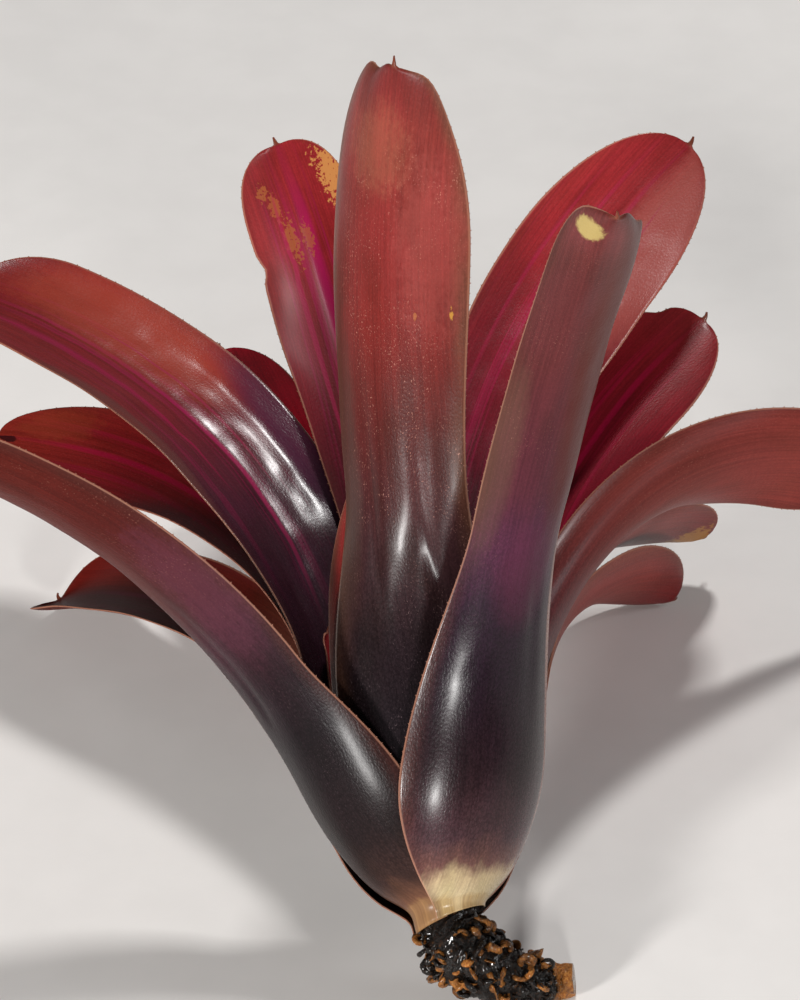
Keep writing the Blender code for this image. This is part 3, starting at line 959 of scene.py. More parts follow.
    def half_thickness(self, rows: Array, places: Array) -> Array:
        """Half of the thickness.

        Args:
            rows: distances along the midrib.
            places: places across, from -1 to 1.

        Returns:
            The half thickness at each row and column.
        """
        rows = rows[:, None]
        past_sheath = ease((rows - self.THICK_RUN / 2.0) / self.THICK_RUN)
        middle = self.SHEATH_THICK + (self.BLADE_THICK - self.SHEATH_THICK) * past_sheath
        middle = middle + (self.MARGIN_THICK - middle) * ease((rows - self.length + self.tip) / self.tip)
        thick = self.MARGIN_THICK + (middle - self.MARGIN_THICK) * (1.0 - places[None, :] ** 2)
        lap = self.SPINE_LAP
        past_end = np.clip((rows - self.length + lap) / (self.SPINE_LENGTH + lap), 0.0, 1.0)
        spine = self.SPINE_THICK - self.SPINE_THINS * past_end
        return np.where(rows > self.length - lap, spine, thick) / 2.0

    def relief(self, rows: Array, places: Array) -> Array:
        """Height of folds, waves and puckers over the middle surface, in millimetres outward.

        Args:
            rows: distances along the midrib.
            places: places across, from -1 to 1.

        Returns:
            The height at each row and column.
        """
        height = np.zeros((len(rows), len(places)))
        for crease in self.creases:
            stretch = self.rise_and_fall(rows, crease.start, crease.end, self.CREASE_RUN, self.CREASE_RUN)
            height -= crease.depth * stretch[:, None] * bell(places, crease.across, crease.width)[None, :]
        if self.waves:
            free = self.rise_and_fall(rows, self.WAVES_START, self.length, self.WAVES_RUN, self.WAVES_END)
            left, right = (
                sum(np.sin(rows / long + shift * self.angle) * share for long, shift, share in waves)
                for waves in (self.LEFT_WAVES, self.RIGHT_WAVES))
            wave = np.where(places[None, :] < 0.0, left[:, None], right[:, None])
            height += self.waves * free[:, None] * wave * np.abs(places) ** 3
        if self.pucker:
            end = self.length - self.PUCKER_END
            free = self.rise_and_fall(rows, self.PUCKER_START, end, self.PUCKER_RUN, self.PUCKER_RUN)
            for i, row in enumerate(rows):
                for j, place in enumerate(places):
                    spot = Vector((place * self.PUCKERS_ACROSS, row / self.PUCKER_LENGTH, self.angle))
                    lump = noise.fractal(spot, *self.PUCKER_NOISE)
                    height[i, j] += self.pucker * free[i] * lump * (1.0 - place**4)
        return height

    def build(self, number: int, tissue: TissueGroup, blotch: BlotchGroup) -> bpy.types.Object:
        """Makes the leaf and stands it in for the solid of its name.

        Args:
            number: the leaf's place in the spiral, which sets its grain.
            tissue: the shared tissue group.
            blotch: the shared blotch group.

        Returns:
            The leaf.
        """
        points, places, reach = self.middle_surface()
        rows = self.stations()
        if self.collar:
            points, rows, reach = self.add_collar(points, rows, reach)
        normals = unit(np.cross(np.gradient(points, axis=1), np.gradient(points, axis=0)))
        points = points + normals * self.relief(rows, places)[..., None]
        offset = normals * self.half_thickness(rows, places)[..., None]
        sideways = [points[:, 0] - points[:, 1], points[:, -1] - points[:, -2]]
        rims = [points[:, column] + unit(away) * self.MARGIN_THICK * self.MARGIN_ROUND
                for column, away in zip((0, -1), sideways)]
        outer, inner = points + offset, points - offset
        skin = LeafSkin(self, rows, places, reach, number)
        skin.add_body(outer, inner, rims)
        for column, rim, away, side in zip((0, -1), rims, sideways, (-1.0, 1.0)):
            skin.add_teeth(rim, outer[:, column] - inner[:, column], away, side)
        piece = skin.mesh_object(self.to_world())
        piece.data.materials.append(self.finish.material(self.name, tissue, blotch))
        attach(piece, "root")
        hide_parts(self.name)
        return piece

    @classmethod
    def lean(cls) -> Matrix:
        """How the whole plant leans back and to its left."""
        back = Matrix.Rotation(-math.radians(cls.LEAN_BACK), 4, "X")
        return back @ Matrix.Rotation(-math.radians(cls.LEAN_LEFT), 4, "Y")

    def to_world(self) -> Matrix:
        """The move from the leaf's own frame to the plant's place, in millimetres.

        Returns:
            The lift and spin along the spiral, then the lean, then the shift to the crown.
        """
        spin = Matrix.Rotation(math.radians(self.angle % 360.0), 4, "Z")
        lift = Matrix.Translation((0.0, 0.0, self.TURN_UPWARD * self.angle / 360.0))
        return Matrix.Translation(self.CROWN) @ self.lean() @ lift @ spin


class LeafSkin:
    """The mesh of one leaf as it is put together, with the values that its material reads."""

    SPINE_FADE = 1.2
    RIM_GRAIN = 0.2
    RIM_ACROSS = 1.04
    TOOTH_ACROSS = 1.08
    TOOTH_GRAIN = 3.0
    TOOTH_SIZES = (0.65, 1.25)
    TOOTH_GAPS = (0.6, 1.4)
    TOOTH_HALF_THICK = 0.13
    TOOTH_SUNK = 0.12
    TOOTH_LEAN = 0.75
    TOOTH_OUT = 0.8
    GRAIN_APART = 17.3
    FACES_APART = 5.1

    def __init__(self, leaf: Leaf, rows: Array, places: Array, reach: Array, number: int) -> None:
        """Keeps the leaf's layout and starts with no points.

        Args:
            leaf: the leaf.
            rows: distances of the rows along the midrib.
            places: the columns' places across, from -1 to 1.
            reach: the distance of each point from the midrib.
            number: the leaf's place in the spiral.
        """
        self.leaf, self.rows, self.places, self.reach, self.number = leaf, rows, places, reach, number
        self.points: list[Array] = []
        self.faces: list[tuple[int, ...]] = []
        self.values: dict[str, list[Array]] = {
            name: [] for name in ("along", "across", "side", "spine", "grain")}

    def _add(self, points: Array, along: Array, across: Array, side: Array, grain_x: Array) -> int:
        """Adds points with their values.

        Args:
            points: the points.
            along: their distances along the midrib.
            across: their places across, from -1 to 1.
            side: 0 on the outer face and 1 on the inner one.
            grain_x: their distances from the midrib.

        Returns:
            The first point's number.
        """
        first = sum(len(p) for p in self.points)
        leaf = self.leaf
        share = (along + leaf.FOOT_RUN) / (leaf.length + leaf.FOOT_RUN)
        spine = ease((along - leaf.length + self.SPINE_FADE / 2.0) / self.SPINE_FADE)
        deep = np.full(len(points), self.GRAIN_APART * self.number) + self.FACES_APART * side
        self.points.append(points)
        new = (share, across, side, spine, np.stack([grain_x, along, deep], axis=-1))
        for so_far, values in zip(self.values.values(), new):
            so_far.append(values)
        return first

    def add_body(self, outer: Array, inner: Array, rims: Sequence[Array]) -> None:
        """Adds the two faces, the rounded rims between them and the two ends.

        Args:
            outer: points of the outer face.
            inner: points of the inner face.
            rims: points of the left and right rims.
        """
        rows, columns = outer.shape[:2]
        ring = np.concatenate([outer, rims[1][:, None], inner[:, ::-1], rims[0][:, None]], axis=1)
        around = 2 * columns + 2
        right, left = self.reach[:, -1:] + self.RIM_GRAIN, self.reach[:, :1] - self.RIM_GRAIN
        grain_x = np.concatenate([self.reach, right, self.reach[:, ::-1], left], axis=1)
        across = np.concatenate([self.places, [self.RIM_ACROSS], self.places[::-1], [-self.RIM_ACROSS]])
        side = np.concatenate([np.zeros(columns), [0.5], np.ones(columns), [0.5]])
        self._add(ring.reshape(-1, 3), np.repeat(self.rows, around), np.tile(across, rows),
                  np.tile(side, rows), grain_x.reshape(-1))
        at = np.arange(rows * around).reshape(rows, around)
        after = np.roll(at, -1, axis=1)
        quads = np.stack([at[:-1], after[:-1], after[1:], at[1:]], axis=-1).reshape(-1, 4)
        self.faces += [tuple(q) for q in quads.tolist()]
        for row, flipped in ((0, True), (rows - 1, False)):
            end = at[row].tolist()
            strip = [(end[j], end[j + 1], end[around - 3 - j], end[around - 2 - j])
                     for j in range(columns - 1)]
            strip.append((end[columns - 1], end[columns], end[columns + 1]))
            strip.append((end[0], end[around - 2], end[around - 1]))
            self.faces += [tuple(reversed(face)) if flipped else face for face in strip]

    def add_teeth(self, rim: Array, thick: Array, away: Array, side: float) -> None:
        """Adds the fine teeth of one margin.

        Args:
            rim: points along the margin.
            thick: vectors through the leaf there.
            away: vectors out of the margin there.
            side: -1 for the left margin and 1 for the right.
        """
        leaf, rng = self.leaf, random.Random(31 * self.number + int(side))
        at = leaf.TEETH_START + rng.uniform(0.0, leaf.TOOTH_PITCH)
        while at < leaf.length - leaf.TEETH_END:
            size = rng.uniform(*self.TOOTH_SIZES)
            half = leaf.TOOTH_WIDTH / 2.0 * size
            spots = np.array([at - half, at, at + half])
            low, middle, high = leaf.at_rows(spots, self.rows, rim)
            out, through = (unit(leaf.at_rows(spots[1:2], self.rows, v)[0]) for v in (away, thick))
            ahead, through = unit(high - low), through * self.TOOTH_HALF_THICK
            sunk = out * self.TOOTH_SUNK
            apex = middle + (out + self.TOOTH_LEAN * ahead) * leaf.TOOTH_LENGTH * size * self.TOOTH_OUT
            made = np.stack(
                [low - sunk, high - sunk, middle + through - sunk, middle - through - sunk, apex])
            across, grain_x = self.TOOTH_ACROSS * side, self.TOOTH_GRAIN
            first = self._add(made, *(np.full(len(made), v) for v in (at, across, 0.5, grain_x)))
            for a, b in ((0, 2), (2, 1), (1, 3), (3, 0)):
                self.faces.append((first + a, first + b, first + 4))
            self.faces.append((first, first + 3, first + 1, first + 2))
            at += leaf.TOOTH_PITCH * rng.uniform(*self.TOOTH_GAPS)

    def mesh_object(self, to_world: Matrix) -> bpy.types.Object:
        """Turns what was added into one smooth object in the plant's frame.

        Args:
            to_world: the move from the leaf's own frame, in millimetres.

        Returns:
            The object, added to the scene.
        """
        turn = np.array(to_world)
        points = np.concatenate(self.points) @ turn[:3, :3].T + turn[:3, 3]
        values = {name: np.concatenate(parts) for name, parts in self.values.items()}
        return smooth_piece(self.leaf.name + "_skin", (points * MM).tolist(), self.faces, values)


# A Blotch gives its place along and across, its length, width, colour and face, and then how ragged and how
# finely specked it is, its strength and how soft its rim is.
LEAVES: list[Leaf] = [
    Leaf(
        "leaf_01_low_right", angle=145.0, length=149.0, blade=17.6, neck=16.0, neck_at=81.0, tip=42.0,
        wrap=24.0, trough=64.0, tip_trough=39.0, spread=93.777, bend=0.85, free=12.0, swing=-3.5, turn=16.5,
        twist=-29.5,
        finish=LeafFinish(outer=ROSY, inner=ROSY, scurf=0.3, mottle=0.3, edge=(130, 72, 60), stripes=0.2),
        waves=0.4, collar=True),
    Leaf(
        "leaf_02_low_left", angle=215.0, length=166.5, blade=15.2, neck=11.7, neck_at=65.5, tip=15.0,
        wrap=34.0, trough=46.0, tip_trough=34.0, spread=79.849, bend=0.72, free=22.5, swing=6.0, turn=-10.5,
        twist=-22.0,
        finish=LeafFinish(
            outer=(
                (0.0, OCHRE), (0.04, (130, 92, 62)), (0.09, (54, 38, 36)), (0.2, (34, 26, 30)),
                (0.36, (66, 48, 42)), (0.5, (82, 44, 32)), (0.66, (84, 24, 18)), (1.0, (104, 26, 20))),
            inner=(
                (0.0, OCHRE), (0.1, (50, 34, 36)), (0.36, (76, 52, 46)), (0.5, (88, 52, 40)),
                (0.66, (84, 24, 18)), (1.0, (104, 26, 20))),
            edge=(84, 34, 26), stripes=0.1, scurf=0.14, gloss=0.03, specular=0.05, outer_roughness=0.55,
            inner_roughness=0.5),
        spine_bend=2.4, square_left=3.4, square_right=3.4, waves=0.5, collar=True),
    Leaf(
        "leaf_03_front_right", angle=394.0, length=189.0, blade=11.0, neck=11.2, neck_at=84.0, tip=30.7,
        wrap=54.5, trough=42.0, tip_trough=76.9, spread=90.5, bend=0.65, free=13.7, swing=-32.0, turn=-2.6,
        twist=-4.9,
        finish=LeafFinish(
            outer=MAUVE, edge=(84, 42, 34), scurf=0.3, mottle=0.3, outer_roughness=0.36,
            blotches=(
                Blotch(0.75, 0.7, 0.28, 0.6, (86, 30, 22), Face.OUTER, 0.1, 0.3, 0.8, 0.6),
                Blotch(0.42, 0.15, 0.06, 0.5, (92, 34, 58), Face.OUTER, 0.2, 0.4, 0.4, 0.9),
                Blotch(0.56, -0.8, 0.12, 0.3, (100, 78, 60), Face.OUTER, 0.2, 0.4, 0.3, 0.8),
                Blotch(0.27, 0.99, 0.17, 0.15, (168, 134, 124), Face.OUTER, 0.1, 0.4, 0.8, 0.45),
                Blotch(0.958, -0.52, 0.02, 0.34, (172, 152, 94), Face.OUTER, 0.25, 0.9, 0.92, 0.4))),
        square_left=3.3, square_right=2.5, waves=0.25, collar=True,
        lobes=(Lobe(-5.0, 3.0, -1.5), Lobe(-2.4, 1.2, -0.4), Lobe(7.5, 3.6, -8.0)), pucker=0.16,
        creases=(Crease(0.42, 0.12, 0.35, 34.0, 80.0),)),
    Leaf(
        "leaf_04_right_tipped", angle=493.5, length=163.5, blade=13.8, neck=12.3, neck_at=64.5, tip=35.0,
        wrap=41.0, trough=27.5, tip_trough=16.5, spread=92.2, bend=0.9, free=12.0, swing=11.0, turn=2.0,
        twist=-9.0,
        finish=LeafFinish(
            outer=ROSY, inner=ROSY, edge=(130, 66, 54), stripe=(170, 56, 70), stripes=0.3, scurf=0.25,
            blotches=(
                Blotch(0.985, 0.3, 0.035, 1.0, (176, 124, 48), Face.INNER, 0.5, 0.9, 0.9, 0.4),
                Blotch(0.985, 0.3, 0.035, 1.0, (160, 108, 42), Face.OUTER, 0.5, 0.9, 0.9, 0.4))),
        waves=0.9),
    Leaf(
        "leaf_05_back_crimson", angle=567.0, length=176.5, blade=13.0, neck=10.5, neck_at=66.0, tip=34.0,
        wrap=25.0, trough=30.0, tip_trough=18.5, spread=42.5, bend=0.98, free=21.0, swing=-8.5, turn=1.5,
        twist=-15.5,
        finish=LeafFinish(
            outer=CLARET, inner=CLARET, edge=(130, 22, 34), stripe=(130, 16, 40), stripes=0.4, scurf=0.1,
            gloss=0.08),
        waves=0.3),
    Leaf(
        "leaf_06_front_left", angle=659.0, length=166.0, blade=12.2, neck=13.3, neck_at=59.5, tip=35.5,
        wrap=55.0, trough=31.0, tip_trough=38.0, spread=79.8, bend=0.75, free=14.0, swing=0.5, turn=4.0,
        twist=-6.0,
        finish=LeafFinish(
            outer=RUSSET, scurf=0.3, mottle=0.3, edge=(72, 38, 32), sheen=0.12, specular=0.09,
            blotches=(
                Blotch(0.53, 0.5, 0.1, 0.5, (96, 50, 66), Face.OUTER, 0.5, 0.4, 0.35, 0.9),
                Blotch(0.7, -0.6, 0.2, 0.4, (82, 30, 26), Face.OUTER, 0.2, 0.4, 0.5, 0.7))),
        creases=(Crease(-0.3, 0.1, 0.3, 40.0, 90.0),), waves=0.25, collar=True, pucker=0.2),
    Leaf(
        "leaf_07_right", angle=824.7, length=181.0, blade=12.9, neck=12.4, neck_at=84.4, tip=26.5,
        wrap=43.6, trough=93.6, tip_trough=7.6, spread=103.9, bend=0.97, free=13.8, swing=29.0, turn=-3.5,
        twist=-46.8,
        finish=LeafFinish(
            outer=(
                (0.0, OCHRE), (0.05, (90, 62, 50)), (0.12, (44, 28, 34)), (0.3, (72, 34, 40)),
                (0.42, (96, 40, 42)), (0.6, (124, 52, 46)), (0.75, (140, 58, 52)), (0.9, (148, 60, 52)),
                (1.0, (136, 44, 40))),
            scurf=0.3, mottle=0.25, edge=(96, 42, 36)),
        waves=0.3),
    Leaf(
        "leaf_08_left", angle=943.4, length=175.5, blade=15.1, neck=8.4, neck_at=71.3, tip=42.0, wrap=33.6,
        trough=19.2, tip_trough=8.9, spread=68.4, bend=0.68, free=57.5, swing=29.7, turn=5.5, twist=-53.3,
        finish=LeafFinish(
            inner=(
                (0.0, OCHRE), (0.05, (110, 80, 60)), (0.12, (50, 24, 34)), (0.3, (112, 38, 44)),
                (0.5, (140, 44, 50)), (0.62, (154, 46, 50)), (0.8, (156, 40, 44)), (0.93, (158, 48, 42)),
                (1.0, (160, 52, 42))),
            stripe=(178, 26, 66), stripes=0.8, scurf=0.25, gloss=0.08,
            blotches=(
                Blotch(0.985, 0.1, 0.014, 0.16, (40, 18, 22), Face.INNER, 0.3),
                Blotch(0.93, -0.5, 0.05, 0.4, (150, 62, 42), Face.INNER, 0.4, 0.6, 0.5, 0.6))),
        waves=0.4),
    Leaf(
        "leaf_09_front_middle", angle=1085.0, length=184.2, blade=19.5, neck=15.9, neck_at=80.0, tip=39.0,
        wrap=57.0, trough=38.0, tip_trough=41.0, spread=53.6, bend=0.65, free=50.5, swing=8.0, turn=-35.0,
        twist=-21.5,
        finish=LeafFinish(
            scurf=0.78, mottle=0.45, sheen=0.55, outer_roughness=0.36,
            blotches=(
                Blotch(0.717, 0.82, 0.008, 0.022, (190, 140, 50), Face.OUTER, 0.9, 1.0, 0.8, 0.5),
                Blotch(0.712, 0.42, 0.005, 0.018, (170, 110, 50), Face.OUTER, 0.9, 1.0, 0.5, 0.5),
                Blotch(0.9, -0.12, 0.05, 0.45, (162, 104, 78), Face.OUTER, 0.5, 0.8, 0.24, 0.95),
                Blotch(0.8, 0.6, 0.1, 0.4, (166, 84, 76), Face.OUTER, 0.6, 0.8, 0.22, 0.95),
                Blotch(0.55, -0.85, 0.2, 0.3, (70, 48, 40), Face.OUTER, 0.2, 0.5, 0.5, 0.7))),
        square_left=3.9, square_right=2.15, waves=0.2, pucker=0.2,
        lobes=(Lobe(-7.6, 4.0, -2.9), Lobe(9.0, 5.0, 2.8)),
        creases=(
            Crease(-0.35, 0.09, 0.55, 45.0, 120.0),
            Crease(0.4, 0.1, 0.5, 45.0, 110.0),
            Crease(0.05, 0.1, 0.3, 150.0, 188.0))),
    Leaf(
        "leaf_10_right_crimson", angle=1206.0, length=166.5, blade=15.2, neck=10.8, neck_at=64.0, tip=34.5,
        wrap=33.0, trough=28.0, tip_trough=18.5, spread=56.8, bend=0.65, free=27.0, swing=-12.5, turn=15.5,
        twist=47.0,
        finish=LeafFinish(
            outer=DEEP, inner=DEEP, edge=(110, 20, 30), stripe=(168, 18, 62), rib=0.05, stripes=0.7,
            scurf=0.15, gloss=0.1, inner_roughness=0.36),
        creases=(Crease(0.0, 0.14, -0.5, 70.0, 150.0),), notches=(Notch(160.0, 1.0, 2.4, 1.4),), waves=0.3),
    Leaf(
        "leaf_11_upper_left", angle=1302.5, length=205.0, blade=19.5, neck=16.0, neck_at=55.0, tip=20.0,
        wrap=41.5, trough=39.0, tip_trough=20.0, spread=54.2, bend=0.69, free=60.0, swing=28.0, turn=-11.5,
        twist=-14.5,
        finish=LeafFinish(
            inner=SPOTTED_CRIMSON, stripe=(158, 24, 78), rib=0.03, stripes=0.8, scurf=0.35,
            inner_roughness=0.26, gloss=0.4, edge=(98, 64, 46),
            blotches=(
                Blotch(0.82, -0.5, 0.14, 0.55, (150, 58, 42), Face.INNER, 0.2, 0.4, 0.75, 0.7),
                Blotch(0.58, -0.92, 0.13, 0.34, (62, 28, 50), Face.INNER, 0.1, 0.3, 0.7, 0.6),
                Blotch(0.68, 0.97, 0.15, 0.2, (98, 58, 52), Face.INNER, 0.1, 0.3, 0.7, 0.5),
                Blotch(0.78, 0.36, 0.2, 0.028, (150, 24, 66), Face.INNER, 0.05, 0.2, 0.75, 0.5),
                Blotch(0.7, -0.26, 0.14, 0.02, (150, 30, 70), Face.INNER, 0.05, 0.2, 0.5, 0.5))),
        creases=(Crease(0.0, 0.09, -0.5, 60.0, 185.0), Crease(-0.62, 0.1, -0.35, 90.0, 160.0)), waves=0.3,
        pucker=0.42),
    Leaf(
        "leaf_12_inner_front", angle=1452.0, length=122.5, blade=10.5, neck=10.5, neck_at=66.4, tip=36.0,
        wrap=42.0, trough=30.5, tip_trough=25.8, spread=10.4, bend=0.94, free=43.0, swing=10.5, turn=-6.0,
        twist=-2.5, finish=LeafFinish(), waves=0.3),
    Leaf(
        "leaf_13_back_left", angle=1611.0, length=205.0, blade=13.4, neck=8.3, neck_at=70.1, tip=29.0,
        wrap=39.2, trough=19.0, tip_trough=25.5, spread=26.1, bend=1.24, free=40.6, swing=11.0, turn=13.0,
        twist=-14.1,
        finish=LeafFinish(
            stripe=(158, 24, 76), rib=0.1, stripes=0.9, gloss=0.04, specular=0.04, inner_roughness=0.4,
            scurf=0.2,
            blotches=(
                Blotch(0.915, -0.82, 0.045, 0.26, (200, 136, 76), Face.INNER, 0.75, 1.4, 0.9, 0.3),
                Blotch(0.93, 0.6, 0.012, 0.1, (168, 96, 48), Face.INNER, 1.0, 1.6, 0.6, 0.4),
                Blotch(0.905, 0.42, 0.02, 0.09, (166, 90, 46), Face.INNER, 1.0, 1.6, 0.6, 0.4),
                Blotch(0.85, 0.3, 0.03, 0.1, (164, 92, 46), Face.INNER, 1.0, 1.6, 0.65, 0.4),
                Blotch(0.85, 0.02, 0.022, 0.08, (164, 90, 46), Face.INNER, 1.0, 1.6, 0.6, 0.4),
                Blotch(0.74, 0.42, 0.18, 0.05, (160, 26, 70), Face.INNER, 0.05, 0.2, 0.7, 0.5))),
        creases=(Crease(0.0, 0.1, -0.4, 60.0, 190.0),), notches=(Notch(165.0, 1.0, 3.0, 1.3),), waves=0.35),
    Leaf(
        "leaf_14_inner_left", angle=1773.0, length=101.0, blade=9.5, neck=10.2, neck_at=65.0, tip=29.5,
        wrap=35.5, trough=30.5, tip_trough=28.5, spread=-5.0, bend=0.85, free=32.5, swing=28.0, turn=2.0,
        twist=4.0, finish=LeafFinish(), waves=0.3),
    Leaf(
        "leaf_15_inner_right", angle=1850.5, length=73.0, blade=9.5, neck=9.5, neck_at=60.0, tip=28.0,
        wrap=33.5, trough=32.5, tip_trough=25.0, spread=-5.0, bend=0.99, free=43.0, swing=-4.0, turn=1.0,
        twist=1.5, finish=LeafFinish(), waves=0.2),
    Leaf(
        "leaf_16_back_right", angle=1932.5, length=199.0, blade=18.2, neck=10.2, neck_at=66.0, tip=42.5,
        wrap=38.0, trough=30.5, tip_trough=8.0, spread=46.0, bend=0.65, free=41.5, swing=-32.0, turn=17.0,
        twist=42.5,
        finish=LeafFinish(
            stripe=(166, 26, 74), rib=0.035, stripes=0.8, scurf=0.3, gloss=0.3, inner_roughness=0.3,
            blotches=(
                Blotch(0.86, -0.6, 0.16, 0.55, (172, 84, 76), Face.INNER, 0.15, 0.4, 0.75, 0.7),
                Blotch(0.8, -0.35, 0.12, 0.025, (160, 30, 70), Face.INNER, 0.05, 0.2, 0.5, 0.5))),
        creases=(Crease(0.0, 0.1, -0.5, 60.0, 185.0),), waves=0.35, pucker=0.35),
    Leaf(
        "leaf_17_young", angle=2156.0, length=85.0, blade=9.5, neck=8.3, neck_at=60.0, tip=26.0, wrap=44.0,
        trough=40.0, tip_trough=25.0, spread=-5.0, bend=0.9, free=40.5, swing=5.5, turn=0.0, twist=-1.0,
        finish=LeafFinish(scurf=0.4), waves=0.15),
    Leaf(
        "leaf_18_young", angle=2279.5, length=74.5, blade=9.5, neck=8.5, neck_at=58.0, tip=24.0, wrap=44.0,
        trough=38.5, tip_trough=25.0, spread=0.0, bend=1.0, free=46.0, swing=0.0, turn=0.0, twist=0.0,
        finish=LeafFinish(scurf=0.4), waves=0.15),
    Leaf(
        "leaf_19_heart", angle=2401.0, length=63.0, blade=9.5, neck=8.4, neck_at=56.0, tip=22.0, wrap=44.0,
        trough=39.0, tip_trough=25.0, spread=-1.8, bend=1.0, free=39.5, swing=0.0, turn=0.0, twist=0.0,
        finish=LeafFinish(outer=MAUVE, scurf=0.4), waves=0.1),
]


@dataclass(frozen=True)
class RootFinish:
    """The look of old, wet rootstock: black-brown rind with orange wood showing."""

    dark: Colour = (12, 9, 7)
    rind: Colour = (56, 32, 18)
    wood: Colour = (146, 80, 30)
    pale_wood: Colour = (214, 148, 74)
    cut: Colour = (112, 84, 58)
    wood_from: float = 0.61
    wood_contrast: float = 2.4
    wood_most: float = 0.92
    wet_roughness: float = 0.16
    dry_roughness: float = 0.52
    coat_roughness: float = 0.1
    specular: float = 0.15
    relief: float = 0.35

    CLUMPS = (0.45, 0.45, 0.45)
    FIBRES = (2.2, 2.2, 2.2)

    def material(self, name: str) -> bpy.types.Material:
        """Makes the material.

        Args:
            name: the material's name.

        Returns:
            The material.
        """
        made, bench, shader = new_material(name)
        place = bench.attribute("grain", "Vector")
        worn = bench.attribute("worn")
        clumps = bench.noise(place, self.CLUMPS, detail=5.0, rough=0.65)
        fibres = bench.noise(place, self.FIBRES, detail=4.0, rough=0.7)
        colour = bench.mix(bench.between(fibres, 0.48, 0.78), linear(self.dark), linear(self.rind))
        patches = bench.times(bench.minus(clumps, self.wood_from), self.wood_contrast)
        share = bench.times(bench.plus(worn, patches, clamp=True), self.wood_most)
        wood = bench.mix(bench.between(fibres, 0.34, 0.74), linear(self.wood), linear(self.pale_wood))
        colour = bench.mix(share, colour, wood)
        bare = bench.times(bench.attribute("cut"), bench.between(clumps, 0.3, 0.6, 1.0, 0.7))
        rough = bench.between(clumps, 0.35, 0.65, self.wet_roughness, self.dry_roughness)
        bench.put(shader["Base Color"], bench.mix(bare, colour, linear(self.cut)))
        bench.put(shader["Roughness"], rough)
        bench.put(shader["Coat Weight"], bench.between(clumps, 0.4, 0.6, 0.5, 0.15))
        height = bench.plus(bench.times(clumps, 1.2), fibres)
        bench.put(shader["Normal"], bench.bump(height, self.relief, 0.9))
        shader["Coat Roughness"].default_value = self.coat_roughness
        shader["Specular IOR Level"].default_value = self.specular
        return made


